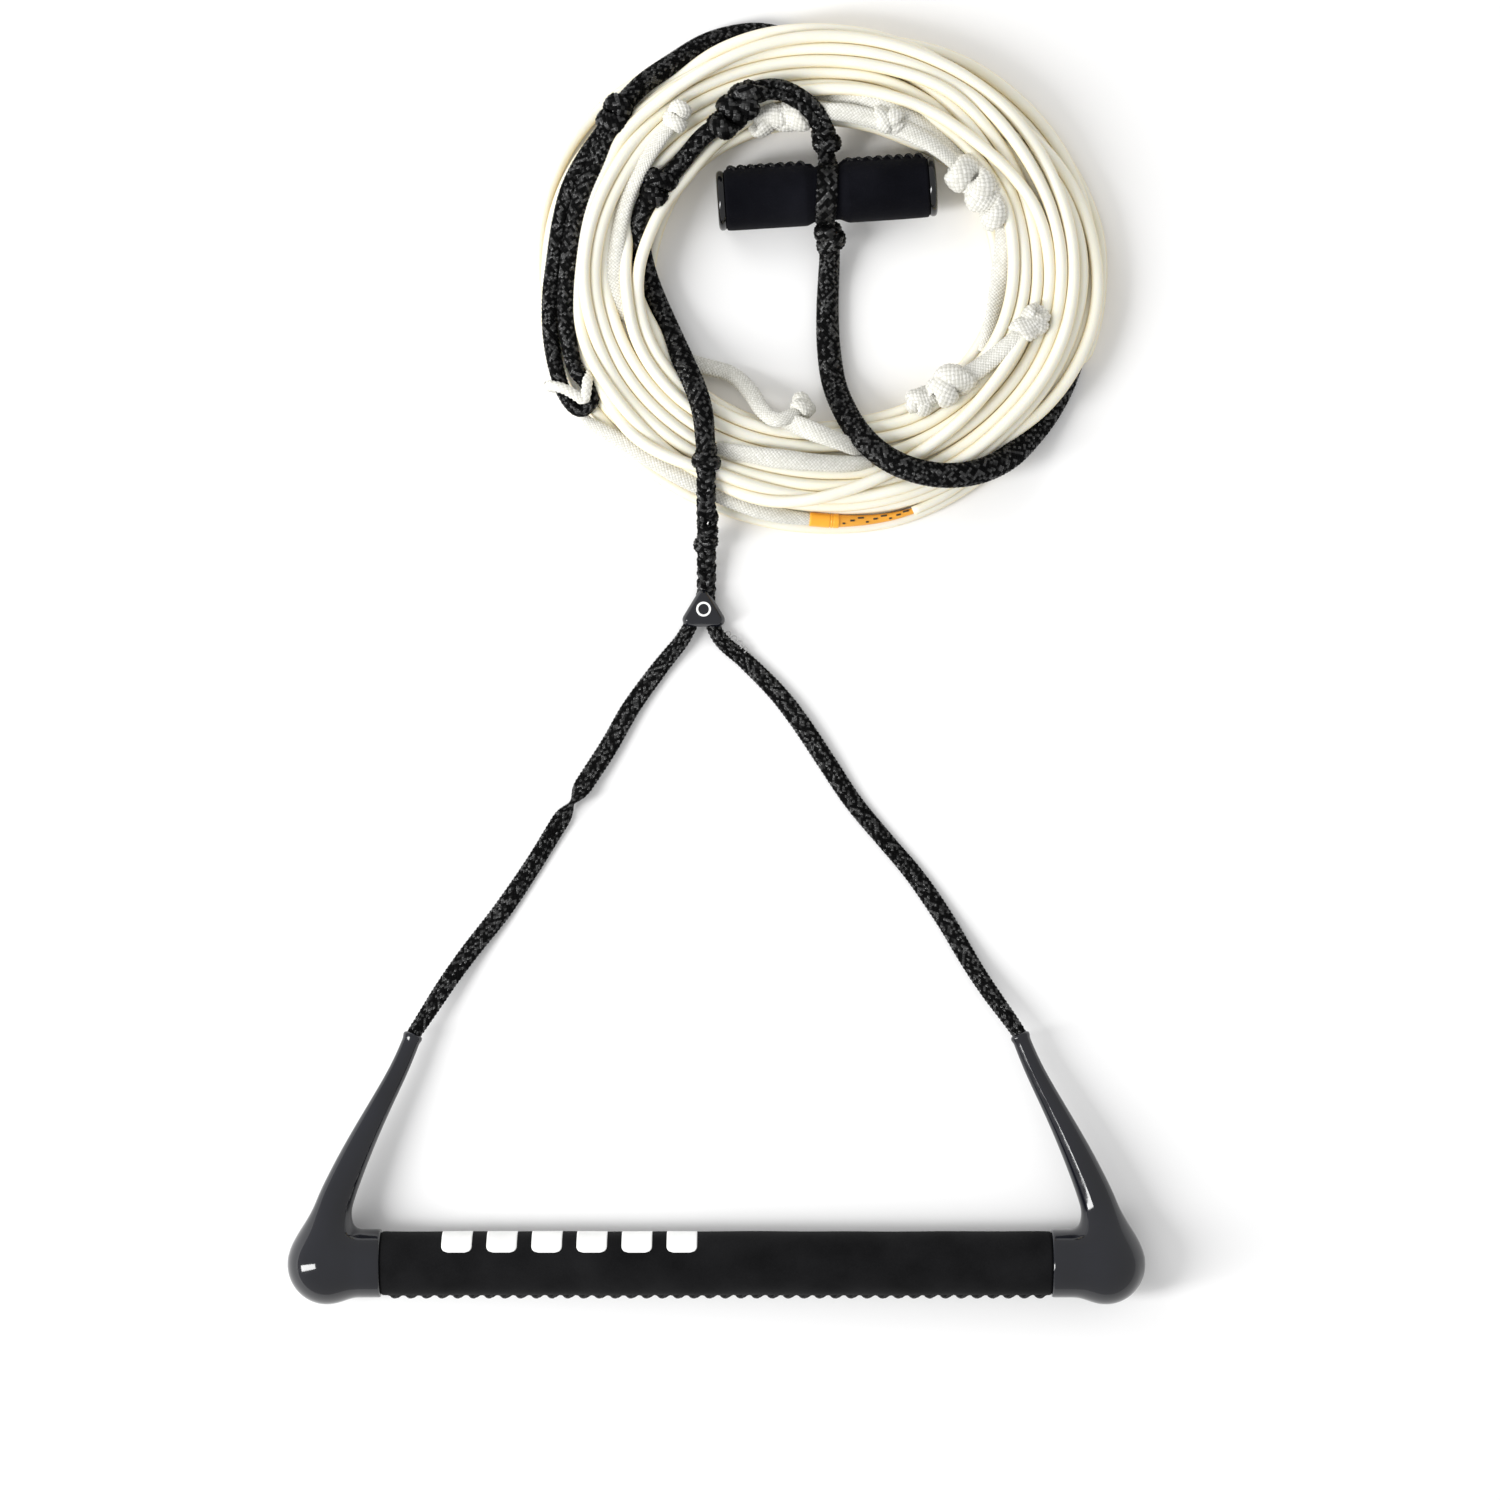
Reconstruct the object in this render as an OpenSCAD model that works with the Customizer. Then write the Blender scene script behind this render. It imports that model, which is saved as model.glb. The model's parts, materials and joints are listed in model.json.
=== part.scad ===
// Tow rope handle: a padded bar with two moulded end caps on a two-legged rope bridle, a moulded yoke,
// a knotted handle section that carries a short cross grip, and the coated main line wound into a coil.
// It lies on a flat surface at z = 0. All sizes are in millimetres.

/* [Handle bar] */
// Width of the handle over its end caps
handle_w = 381; // [376:1:386]
// Outside diameter of the padded sleeve
grip_d = 28.4; // [27.5:0.1:29]
// Thickness of the padding
grip_pad = 1.7; // [1.2:0.1:2]
// Wall of the bar's tube
tube_wall = 1.5; // [1:0.1:2]
// Length of the padded sleeve
grip_len = 299; // [290:1:300]
// Number of whip stitches along the sleeve's seam
grip_stitches = 46; // [30:1:60]

/* [End caps] */
// Radius of each cap's round end
ball_r = 16.8; // [16.5:0.1:17]
// Outside radius of the cap at the rope's mouth
mouth_r = 3.9; // [3.8:0.05:4]
// Radius of the rope that runs through the bar
core_rope_r = 2.6; // [2.4:0.1:2.7]

/* [Bridle and yoke] */
// Width of the flat braid of a bridle leg
leg_w = 8.5; // [7:0.1:9]
// Thickness of the flat braid of a bridle leg
leg_t = 3.2; // [2.5:0.1:3.4]
// Thickness of the yoke
yoke_t = 9.5; // [9:0.1:10]

/* [Handle section] */
// Diameter of the thick hollow braid
rope_d = 9.2; // [8.5:0.1:9.4]
// Diameter of the plait above the yoke
plait_d = 6.6; // [6:0.1:7]
// Diameter of each strand of the end loop
loop_d = 5.2; // [4.8:0.1:5.4]

/* [Cross grip] */
// Length of the cross grip over its caps
cross_len = 97.8; // [96:0.2:98]
// Outside diameter of the cross grip
cross_d = 27.5; // [27:0.1:27.6]
// Diameter where the rope squeezes its waist
waist_d = 24; // [23.5:0.1:24]

/* [Main line] */
// Half the coil's mean width
coil_a = 101.5; // [101:0.1:102]
// Half the coil's mean depth
coil_b = 90; // [89.8:0.1:90.4]
// Width of the coil's bundle of turns
bundle_w = 41; // [39:0.5:41]
// Height of the coil's bundle of turns
bundle_h = 22; // [21:0.5:22]
// Diameter of the length marker sleeve
marker_d = 6.4; // [6:0.1:6.6]

/* [Hidden] */
$fn = 48;

// Colours of the materials
pad_black = [0.06, 0.06, 0.07];
cap_navy = [0.09, 0.1, 0.14];
rope_black = [0.07, 0.07, 0.07];
braid_white = [0.93, 0.92, 0.88];
line_cream = [0.95, 0.93, 0.84];
marker_orange = [0.98, 0.65, 0.1];
foam_grey = [0.55, 0.56, 0.58];

// The bar lies along X
bar_y = -239;
bar_z = ball_r;
tube_r = grip_d / 2 - grip_pad;
tube_half = handle_w / 2 - 22.5;
ball_x = handle_w / 2 - ball_r;
collar_r = ball_r - 1.6;
stitch_r = 0.6;
stitch_len = 5.2;
stitch_slant = 32;
stitch_below = 3;

// The rope's way through the right cap, from inside the bar to the mouth, and the arm's radius along it
arm_route = [
    [173.5, -236, bar_z], [173, -219, 16], [168.5, -207, 15.2], [161.5, -191, 14], [153.8, -175.5, 12.8],
    [147, -162.5, 11.8], [141, -151, 10.8], [135.5, -137, 9.8]
];
arm_radii = [11, 8.6, 7.6, 6.7, 5.6, 4.7, 4.1, mouth_r];
bar_route = [
    [0, bar_y, bar_z], [80, bar_y, bar_z], [150, bar_y, bar_z], [162, -238.5, bar_z], [170, -233.5, 16.6]
];
rope_in_arm = [for (i = [1:len(arm_route) - 1]) arm_route[i]];
core_clear = 0.1;
plug_len = 30;
plug_at = 133;

// Rope routes. Each lies on the surface, or on what it crosses.
left_leg_route = [
    [-16, 38.6, 4.4], [-19.5, 34.4, 3.4], [-27, 25, 2], [-38.5, 9, 1.9], [-48.5, -8.5, 2.6],
    [-60.5, -27, 4.4], [-70, -41.5, 2.8], [-83, -62.5, 1.9], [-97, -83, 1.9], [-110, -99.5, 3.4],
    [-120.5, -114, 6], [-131.5, -131, 9]
];
right_leg_route = [
    [2.6, 38.6, 4.4], [6.5, 35.2, 3.4], [13, 30, 2], [27, 16, 1.9], [37.5, 2.5, 2.2], [48.5, -14, 2.2],
    [61.5, -33.5, 1.9], [76.5, -51.5, 1.9], [89.5, -67, 1.9], [102.5, -86, 2.4], [114, -105.5, 4.2],
    [122.5, -118.5, 6.4], [131.5, -131, 9]
];
left_root_route = [[-9.5, 50, 4.8], [-11.5, 46.5, 4.7], [-13.2, 43.2, 4.6]];
right_root_route = [[-3, 50, 4.8], [-1.8, 46.5, 4.7], [-0.5, 43.2, 4.6]];
lower_plait_route = [[-5, 58, 4.8], [-4.5, 66, 4.6], [-4.5, 73, 5.4], [-4.5, 80, 7.6]];
plait_knot_at = [-4.5, 87.5, 11.5];
upper_plait_route = [[-4.5, 95, 16.5], [-4.5, 101, 20.5], [-4.5, 107, 23.6], [-4.5, 114, 25.6]];
plait_end_at = [-4.5, 119.5, 26.8];
riser_route = [
    [-4.5, 123, 26.8], [-5, 129, 27], [-5.5, 136, 26.4], [-7, 144, 24.6], [-10, 153, 21], [-14, 162, 16],
    [-18.5, 172, 11.6], [-23, 182, 9], [-27.5, 192.5, 8.6], [-31.5, 203.5, 10.4], [-34, 214.5, 13],
    [-34, 225, 15.6], [-31, 234.5, 17.6], [-26, 241.5, 19], [-20, 247, 19.6], [-13, 255, 20.4],
    [-6, 263, 22.6], [1.5, 268, 25]
];
riser_knot_at = [-26, 241.5, 19];
crown_knot_at = [[5.5, 271, 26.6], [14, 279.5, 27.4]];
arch_route = [
    [17, 282, 27.4], [22.5, 283.3, 27.6], [29.5, 282.8, 27], [37, 279, 26.6], [43.5, 273.5, 25],
    [47.2, 267.5, 21.6], [48.6, 262.5, 17]
];
arch_strand_d = 4;
grip_top_at = [48.7, 262.5, 16.4];
grip_bottom_at = [50.6, 218.8, 12.4];
tail_route = [
    [50.7, 215.5, 11], [50.6, 208.5, 7.6], [50.2, 200, 5.2], [49.8, 188, 4.8], [50.2, 172, 4.8],
    [52.5, 155, 6.8], [57.5, 141.5, 14], [64, 130.5, 21.4], [73, 121.5, 25.8], [84, 115.5, 27],
    [96.5, 112.3, 27], [108.5, 112.2, 26], [120, 115, 22], [131.5, 121.5, 14.6], [142, 132.5, 8.2],
    [150.5, 144.5, 5.2], [157, 158, 4.8], [161.5, 174, 4.8], [163, 192, 4.8], [161.5, 210, 4.8],
    [157.5, 227, 4.8], [149.5, 244, 4.8], [138.5, 258.5, 4.8], [124.5, 270.5, 4.8], [107, 281, 4.8],
    [88, 291, 4.8], [67, 299.5, 4.8], [46, 306, 4.8], [30, 309.8, 4.8], [15, 311.5, 5.2], [-3.5, 307, 7],
    [-20, 297, 10], [-32.5, 288, 13.6], [-41.5, 278.5, 16.6]
];
tail_knot_at = [-45, 272.5, 18.2];
loop_route = [
    [-46.5, 271.5, 18.2], [-50.5, 266, 18.4], [-58.5, 254.5, 17.4], [-65.5, 241, 16], [-69.5, 226, 15],
    [-72, 209.5, 14.6], [-74, 193, 14.6], [-74, 176.5, 14.6], [-71.5, 160.5, 14.8], [-67, 147.5, 14.6],
    [-60.5, 141.5, 14], [-55, 147.5, 15.2], [-58, 154, 17.4], [-63, 160.5, 18.6], [-66.5, 176.5, 18.6],
    [-67, 193, 18.6], [-65.5, 209.5, 18.6], [-63, 226, 19], [-59, 240, 19.6], [-53, 253, 20],
    [-47.5, 265.5, 19.6], [-44.5, 271, 18.8]
];
hitch_route = [
    [-56.5, 134, 12], [-62, 144, 10.2], [-70, 151, 10.4], [-75, 152.6, 13.6], [-73.5, 152.4, 18.4],
    [-68, 151, 20.4], [-62, 147.6, 20.6], [-59, 145.6, 20], [-58, 149, 21.4], [-57.4, 154, 20.6],
    [-57.2, 158.4, 17.4]
];
hitch_d = 3.4;
lead_route = [
    [-58.5, 137, 12.4], [-46, 130, 15], [-29, 120, 16], [-16, 112.5, 15.4], [-4.5, 107, 14.4],
    [6, 102.5, 13.6], [18, 98, 12.6], [29, 95, 11.6], [39.5, 93.6, 10.4]
];
lead_w = 8.4;
lead_t = 4.6;
marker_route = [[41.5, 93.4, 10.2], [53.5, 92.6, 9], [66, 93, 8], [78, 94.6, 7.4], [88, 97.2, 7]];

// The coil's centre, and the flat hollow braid of the line's splices
coil_x = 47.5;
coil_y = 203;
splice_w = 8;
splice_t = 4.4;
splice_left_route = [
    [-17.5, 271.5, 23.6], [-24, 263, 22.8], [-32, 251.5, 21], [-40, 236, 19], [-44, 220, 18],
    [-45.5, 203, 17.6], [-42, 189.5, 17], [-34, 178.5, 13], [-24, 170, 7.5], [-13, 164.5, 3.4],
    [-2, 161.5, 3], [7, 158.5, 5], [15, 150.5, 11.5], [20.5, 141.5, 19], [26.5, 136.5, 23.6],
    [33.5, 139, 22.4], [38, 143, 17.6]
];
splice_bottom_route = [
    [21, 139, 13], [30.5, 137, 19.4], [37.5, 134, 22], [45, 131, 23.6], [52.5, 128, 23.6],
    [60, 125.5, 21], [68.5, 122.5, 14.5]
];
splice_lower_right_route = [
    [85.5, 142, 17], [94, 147, 20], [104.5, 153, 21.6], [113.5, 157.5, 21.6], [123, 164.5, 21.4],
    [134, 173.5, 22.6], [145.5, 182, 22.6]
];
splice_right_route = [
    [119.5, 168, 14], [123, 180.5, 12.6], [126, 194, 12], [127.5, 207.5, 12.4], [128.5, 218.5, 14.6],
    [127, 228, 18], [120, 237, 21.6]
];
splice_top_route = [
    [120, 237, 21.6], [110, 247.5, 24.4], [99.5, 256.5, 26.4], [89, 263, 26], [78, 268, 24.8],
    [66.5, 271.5, 24], [54.5, 273.8, 23.4], [38, 273.5, 20.6], [24.5, 272, 19.4]
];
splice_top_inner_route = [
    [112, 251, 19], [100, 262, 21.4], [88, 270.5, 23.4], [76, 275.5, 24.2], [64, 279, 22],
    [52, 281.5, 17.5], [43, 282.5, 13]
];
splice_on_coil_route = [
    [0, 124.5, 19.4], [12, 122, 22.4], [24, 120, 23.4], [37, 118.5, 23.4], [50, 117.6, 22],
    [60, 117.4, 20.6], [69, 118.4, 18.4]
];
splice_knots_at = [[-17.5, 271.5, 24], [104.5, 153, 22], [120, 237, 22.5]];

// The yoke: a rounded triangle with its apex up the rope
yoke_at = [-5.8, 45.5];
yoke_corner_r = 3;
yoke_corners = [[-6.3, 3], [6.3, 3], [0, 13.4]];
badge_y = yoke_at[1] + 7.6;
badge_r = 3.3;
badge_line = 0.9;

// The cross grip turns about its own long axis
cross_at = [49.2, 238.5, 15];
cross_turn = 3.9;
waist_half = 5.5;
waist_ramp = 3;
cap_len = 3.6;
strap_t = 2.2;
strap_gap = 0.4;

function unit(v) = v / norm(v);
function end_to_end(p, i) = p[max(0, min(len(p) - 1, i))];
function along(p, i) = unit(end_to_end(p, i + 1) - end_to_end(p, i - 1));
function across(t, wide = undef) = is_undef(wide) ? unit(cross([0, 0, 1], t)) : unit(wide - (wide * t) * t);

// A point on the smooth curve through four route points, between the second and the third
function eased(a, b, c, d, t) =
    0.5 * (2 * b + (c - a) * t + (2 * a - 5 * b + 4 * c - d) * t * t + (3 * b - a - 3 * c + d) * t * t * t);
function refine(p, n) = concat(
    [for (i = [0:len(p) - 2]) for (k = [0:n - 1])
        eased(end_to_end(p, i - 1), p[i], p[i + 1], end_to_end(p, i + 2), k / n)],
    [p[len(p) - 1]]
);
function between(v) = [for (i = [0:2 * len(v) - 2]) (v[floor(i / 2)] + v[ceil(i / 2)]) / 2];
function mirrored(p) = [for (i = [len(p) - 1:-1:0]) [-p[i][0], p[i][1], p[i][2]]];

// A solid of oval section swept along a route: half widths a and b may change from ring to ring
module sweep(route, a, b, sides = 10, wide = undef) {
    n = len(route);
    function half(v, i) = is_list(v) ? v[i] : v;
    points = [for (i = [0:n - 1])
        let (t = along(route, i), s = across(t, wide), u = cross(t, s))
        for (k = [0:sides - 1])
            route[i] + half(a, i) * cos(360 * k / sides) * s + half(b, i) * sin(360 * k / sides) * u];
    walls = [for (i = [0:n - 2]) for (k = [0:sides - 1])
        let (j = (k + 1) % sides)
        each [
            [(i + 1) * sides + j, i * sides + j, i * sides + k],
            [(i + 1) * sides + k, (i + 1) * sides + j, i * sides + k]
        ]];
    start = [for (k = [0:sides - 1]) k];
    finish = [for (k = [sides - 1:-1:0]) (n - 1) * sides + k];
    polyhedron(points, concat(walls, [start, finish]));
}

module cord(route, d) {
    sweep(route, d / 2, d / 2);
}

// Turns of cord wrapped round a rope that runs along dir
module wraps(at, dir, hole_r, cord_d, turns, pitch = 0.8) {
    bearing = atan2(dir[1], dir[0]);
    climb = acos(dir[2] / norm(dir));
    translate(at) rotate([0, climb, bearing])
        for (k = [0:turns - 1])
            translate([0, 0, (k - (turns - 1) / 2) * cord_d * pitch])
                rotate_extrude() translate([hole_r + cord_d / 2, 0]) circle(d = cord_d);
}

// ---- Handle ----

module along_bar(x = 0) {
    translate([x, bar_y, bar_z]) rotate([0, 90, 0]) children();
}

module bar_tube() {
    color("silver") along_bar(-tube_half) difference() {
        cylinder(r = tube_r - 0.05, h = 2 * tube_half);
        translate([0, 0, -1]) cylinder(r = tube_r - tube_wall, h = 2 * tube_half + 2);
    }
}

module grip_sleeve() {
    color(pad_black) along_bar(-grip_len / 2) difference() {
        cylinder(r = grip_d / 2, h = grip_len);
        translate([0, 0, -1]) cylinder(r = tube_r, h = grip_len + 2);
    }
}

// Slanted whip stitches in a row along X, their middles at radius r
module stitch_row(from, to, count, r, angle, slant) {
    for (k = [0:count - 1])
        translate([from + (to - from) * (k + 0.5) / count, 0, 0])
            rotate([angle, 0, 0]) translate([0, r, 0]) rotate([0, slant, 0])
                translate([0, 0, -stitch_len / 2]) cylinder(r = stitch_r, h = stitch_len, $fn = 16);
}

module grip_stitching() {
    color(pad_black) translate([0, bar_y, bar_z])
        stitch_row(-grip_len / 2 + 2, grip_len / 2 - 2, grip_stitches, grip_d / 2 + 0.3, 180 + stitch_below,
            stitch_slant);
}

module right_cap_body() {
    difference() {
        union() {
            along_bar(grip_len / 2) cylinder(r = collar_r, h = ball_x - grip_len / 2);
            translate([ball_x, bar_y, bar_z]) sphere(r = ball_r);
            sweep(refine(arm_route, 2), between(arm_radii), between(arm_radii), 16);
        }
        along_bar(grip_len / 2 - 1) cylinder(r = tube_r, h = tube_half - grip_len / 2 + 1.1);
        core_rope_way(core_rope_r + core_clear, 2);
    }
}

// The rope's way from the middle of the bar to just past the right mouth
module core_rope_way(r, past) {
    last = len(arm_route) - 1;
    mouth = arm_route[last];
    lead = unit(mouth - arm_route[last - 1]);
    sweep(concat(bar_route, rope_in_arm, past > 0 ? [mouth + past * lead] : []), r, r, 12);
}

module right_end_cap() {
    color(cap_navy) right_cap_body();
}

module left_end_cap() {
    color(cap_navy) mirror([1, 0, 0]) right_cap_body();
}

module float_plug(side) {
    color(foam_grey) along_bar(side * plug_at - plug_len / 2) difference() {
        cylinder(r = tube_r - tube_wall - 0.05, h = plug_len);
        translate([0, 0, -1]) cylinder(r = core_rope_r + 0.15, h = plug_len + 2);
    }
}

module through_rope() {
    half = concat(bar_route, rope_in_arm);
    whole = concat(mirrored(half), [for (i = [1:len(half) - 1]) half[i]]);
    color(rope_black) sweep(whole, core_rope_r, core_rope_r, 12);
}

// ---- Bridle and yoke ----

// A leg's braid is gathered at both ends, where it goes into the yoke's root and the cap's mouth
module bridle_leg(route) {
    last = len(route) - 1;
    widths = [for (i = [0:last]) leg_w / 2 * (i == 0 || i == last ? 0.6 : 1)];
    color(rope_black) sweep(route, widths, leg_t / 2, 12);
}

module yoke_outline(grow = 0) {
    r = yoke_corner_r + grow;
    for (c = yoke_corners) translate(c) circle(r = r);
    n = len(yoke_corners);
    polygon([for (i = [0:n - 1])
        let (a = yoke_corners[i], b = yoke_corners[(i + 1) % n], t = unit(b - a), out = [t[1], -t[0]])
        each [a + r * out, b + r * out]]);
}

module yoke() {
    color(cap_navy) difference() {
        translate([yoke_at[0], yoke_at[1], 0]) linear_extrude(yoke_t) yoke_outline();
        translate([yoke_at[0], badge_y, yoke_t - 0.4]) cylinder(r = badge_r + 0.05, h = 1);
        for (route = [left_root_route, right_root_route])
            sweep(extended(route, 3), leg_w / 2 + 0.2, leg_t / 2 + 0.2, 12);
        sweep(reversed(lower_plait_route), plait_d / 2 + 0.2, plait_d / 2 + 0.2, 12);
    }
}

function reversed(p) = [for (i = [len(p) - 1:-1:0]) p[i]];
function extended(p, by) = concat(p, [p[len(p) - 1] + by * along(p, len(p) - 1)]);

module yoke_badge() {
    color("white") translate([yoke_at[0], badge_y, yoke_t - 0.4]) difference() {
        cylinder(r = badge_r, h = 0.6);
        translate([0, 0, -1]) cylinder(r = badge_r - badge_line, h = 3);
    }
}

module bridle_roots() {
    color(rope_black) for (route = [left_root_route, right_root_route])
        sweep(route, leg_w / 2, leg_t / 2, 12);
}

// ---- Handle section ----

module plait(route) {
    color(rope_black) cord(route, plait_d);
}

module plait_knot() {
    color(rope_black) wraps(plait_knot_at, [0, 15, 9], 1.6, 3.8, 4);
}

module plait_end_knot() {
    color(rope_black) wraps(plait_end_at, [0, 9, 1], 1.6, 4, 2);
}

module riser_rope() {
    color(rope_black) cord(riser_route, rope_d);
}

module riser_knot() {
    color(rope_black) wraps(riser_knot_at, [11, 12.5, 2], rope_d / 2 - 0.6, 3.6, 2);
}

module crown_knot() {
    color(rope_black) for (at = crown_knot_at) wraps(at, [8.5, 8.5, 0.8], 2.2, 4.4, 3);
}

module arch_strand(side) {
    offset_route = [for (i = [0:len(arch_route) - 1])
        let (t = along(arch_route, i)) arch_route[i] + side * (arch_strand_d / 2 + 0.1) * across(t)];
    color(rope_black) cord(offset_route, arch_strand_d);
}

module grip_top_knot() {
    color(rope_black) wraps(grip_top_at, [0.5, -8.5, -3], 1.6, 4.2, 2);
}

// Flat straps that pass round the waist of the cross grip, over it (side 1) or under it (side -1)
module grip_strap(side) {
    r = waist_d / 2 + strap_gap + strap_t / 2;
    from = grip_top_at - [0.3, 4.5, 0.4];
    to = grip_bottom_at + [0, 3.4, 1];
    arc = [for (k = [0:9]) let (g = 20 + 140 * k / 9)
        [cross_at[0] + 0.7 * cos(g), cross_at[1] + r * cos(g), cross_at[2] + side * r * sin(g)]];
    color(rope_black) sweep(concat([from], arc, [to]), leg_w / 2, strap_t / 2, 10, [1, 0, 0]);
}

module grip_bottom_knot() {
    color(rope_black) wraps(grip_bottom_at, [0, -8, -3], 2, 3.9, 2);
}

module tail_rope() {
    color(rope_black) cord(tail_route, rope_d);
}

module tail_knot() {
    color(rope_black) wraps(tail_knot_at, [-6, -8.5, 0], 2.4, 4.6, 2);
}

module tail_loop() {
    color(rope_black) cord(loop_route, loop_d);
}

module loop_hitch() {
    color(braid_white) cord(hitch_route, hitch_d);
}

module lead_braid() {
    color(braid_white) sweep(lead_route, lead_w / 2, lead_t / 2, 10);
}

module length_marker() {
    color(marker_orange) sweep(marker_route, marker_d / 2, marker_d / 2, 16);
}

// ---- Main line ----

// The outer shape of the coil: an oval ring with a cushion-shaped section
module main_line_coil() {
    stations = 48;
    sides = 14;
    function cushion(v) = sign(v) * min(1, 1.04 * pow(abs(v), 0.62));
    points = [for (i = [0:stations - 1])
        let (g = 360 * i / stations, out = unit([coil_b * cos(g), coil_a * sin(g), 0]))
        for (k = [0:sides - 1])
            let (h = 360 * k / sides)
            [coil_x + coil_a * cos(g), coil_y + coil_b * sin(g), bundle_h / 2]
                + out * cushion(cos(h)) * bundle_w / 2 + [0, 0, cushion(sin(h)) * bundle_h / 2]];
    faces = [for (i = [0:stations - 1]) for (k = [0:sides - 1])
        let (n = (i + 1) % stations, j = (k + 1) % sides)
        each [
            [n * sides + j, n * sides + k, i * sides + k],
            [i * sides + j, n * sides + j, i * sides + k]
        ]];
    color(line_cream) polyhedron(points, faces);
}

module splice(route) {
    color(braid_white) sweep(route, splice_w / 2, splice_t / 2, 10);
}

module splice_knots() {
    color(braid_white) {
        wraps(splice_knots_at[0], [-6.5, -8.5, -1], 1.4, 3, 2);
        wraps(splice_knots_at[1], [9, 5, 0], 2.4, 4, 3);
        wraps(splice_knots_at[2], [-10, 10, 3], 2.4, 4, 3);
    }
}

// ---- Cross grip ----

module in_cross_frame() {
    translate(cross_at) rotate([0, 0, cross_turn]) children();
}

module along_cross(x = 0) {
    in_cross_frame() translate([x, 0, 0]) rotate([0, 90, 0]) children();
}

module cross_grip_core() {
    half = cross_len / 2 - 2;
    color("silver") along_cross(-half) difference() {
        cylinder(r = 7.95, h = 2 * half);
        translate([0, 0, -1]) cylinder(r = 6, h = 2 * half + 2);
    }
}

module cross_grip_sleeve() {
    half = cross_len / 2 - cap_len;
    r = cross_d / 2;
    color(pad_black) along_cross() rotate_extrude() polygon([
        [8, -half], [r, -half], [r, -waist_half - waist_ramp], [waist_d / 2, -waist_half],
        [waist_d / 2, waist_half], [r, waist_half + waist_ramp], [r, half], [8, half]
    ]);
}

module cross_grip_stitching() {
    end = cross_len / 2 - cap_len - 1;
    start = waist_half + waist_ramp + 1;
    color(pad_black) in_cross_frame() for (side = [-1, 1])
        stitch_row(side < 0 ? -end : start, side < 0 ? -start : end, 8, cross_d / 2 - 0.1, 12, -40);
}

module cross_grip_cap(side) {
    rim = 2.4;
    r = cross_d / 2 - 0.2;
    color(cap_navy) along_cross() mirror([0, 0, side < 0 ? 1 : 0])
        translate([0, 0, cross_len / 2 - cap_len]) difference() {
            union() {
                cylinder(r = r, h = cap_len - rim);
                cylinder(r = r - rim, h = cap_len);
                translate([0, 0, cap_len - rim]) rotate_extrude() translate([r - rim, 0]) intersection() {
                    circle(r = rim);
                    square(rim);
                }
            }
            translate([0, 0, -1]) cylinder(r = 8, h = 2.7);
        }
}

bar_tube();
grip_sleeve();
grip_stitching();
left_end_cap();
right_end_cap();
float_plug(-1);  // left_float_plug
float_plug(1);  // right_float_plug
through_rope();
bridle_leg(left_leg_route);  // left_bridle_leg
bridle_leg(right_leg_route);  // right_bridle_leg
yoke();
yoke_badge();
bridle_roots();
plait(lower_plait_route);  // lower_plait
plait_knot();
plait(upper_plait_route);  // upper_plait
plait_end_knot();
riser_rope();
riser_knot();
crown_knot();
arch_strand(1);  // left_arch_strand
arch_strand(-1);  // right_arch_strand
grip_top_knot();
grip_strap(1);  // upper_grip_strap
grip_strap(-1);  // lower_grip_strap
grip_bottom_knot();
tail_rope();
tail_knot();
tail_loop();
loop_hitch();
lead_braid();
length_marker();
main_line_coil();
splice(splice_left_route);  // splice_left
splice(splice_bottom_route);  // splice_bottom
splice(splice_lower_right_route);  // splice_lower_right
splice(splice_right_route);  // splice_right
splice(splice_top_route);  // splice_top
splice(splice_top_inner_route);  // splice_top_inner
splice(splice_on_coil_route);  // splice_on_coil
splice_knots();
cross_grip_core();
cross_grip_sleeve();
cross_grip_stitching();
cross_grip_cap(-1);  // cross_grip_left_cap
cross_grip_cap(1);  // cross_grip_right_cap
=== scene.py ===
"""The looks of the tow rope handle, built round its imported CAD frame.

Lengths are in millimetres until a mesh is made, and in metres from there on."""

import json
import math

import bmesh
import bpy
import numpy as np
from mathutils import Matrix, Vector


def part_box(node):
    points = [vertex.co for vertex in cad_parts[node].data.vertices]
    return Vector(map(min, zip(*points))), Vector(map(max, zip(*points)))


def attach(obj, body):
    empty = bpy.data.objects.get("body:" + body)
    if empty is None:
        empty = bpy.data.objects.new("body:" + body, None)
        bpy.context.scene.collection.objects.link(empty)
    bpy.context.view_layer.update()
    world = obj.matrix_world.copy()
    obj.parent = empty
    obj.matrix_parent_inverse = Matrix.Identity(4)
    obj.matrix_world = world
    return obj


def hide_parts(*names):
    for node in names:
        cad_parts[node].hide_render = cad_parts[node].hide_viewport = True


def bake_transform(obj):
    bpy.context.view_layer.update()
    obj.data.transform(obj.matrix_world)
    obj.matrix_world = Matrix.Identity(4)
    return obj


MM = 0.001
FLOOR_GAP = 0.05
Z = np.array([0.0, 0.0, 1.0])

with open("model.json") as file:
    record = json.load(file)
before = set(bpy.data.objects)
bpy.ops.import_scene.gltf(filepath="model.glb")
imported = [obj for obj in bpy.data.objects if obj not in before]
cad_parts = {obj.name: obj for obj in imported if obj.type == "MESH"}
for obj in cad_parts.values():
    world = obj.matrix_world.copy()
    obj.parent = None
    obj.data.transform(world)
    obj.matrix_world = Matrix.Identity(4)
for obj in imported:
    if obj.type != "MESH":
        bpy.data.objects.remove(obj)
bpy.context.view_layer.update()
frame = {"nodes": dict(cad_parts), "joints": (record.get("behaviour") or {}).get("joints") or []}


# ---- Camera ----

VIEW_WIDTH = 675
CAMERA_HEIGHT = 2000
SENSOR = 36
VIEW_CENTRE = (15, -10)


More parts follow.
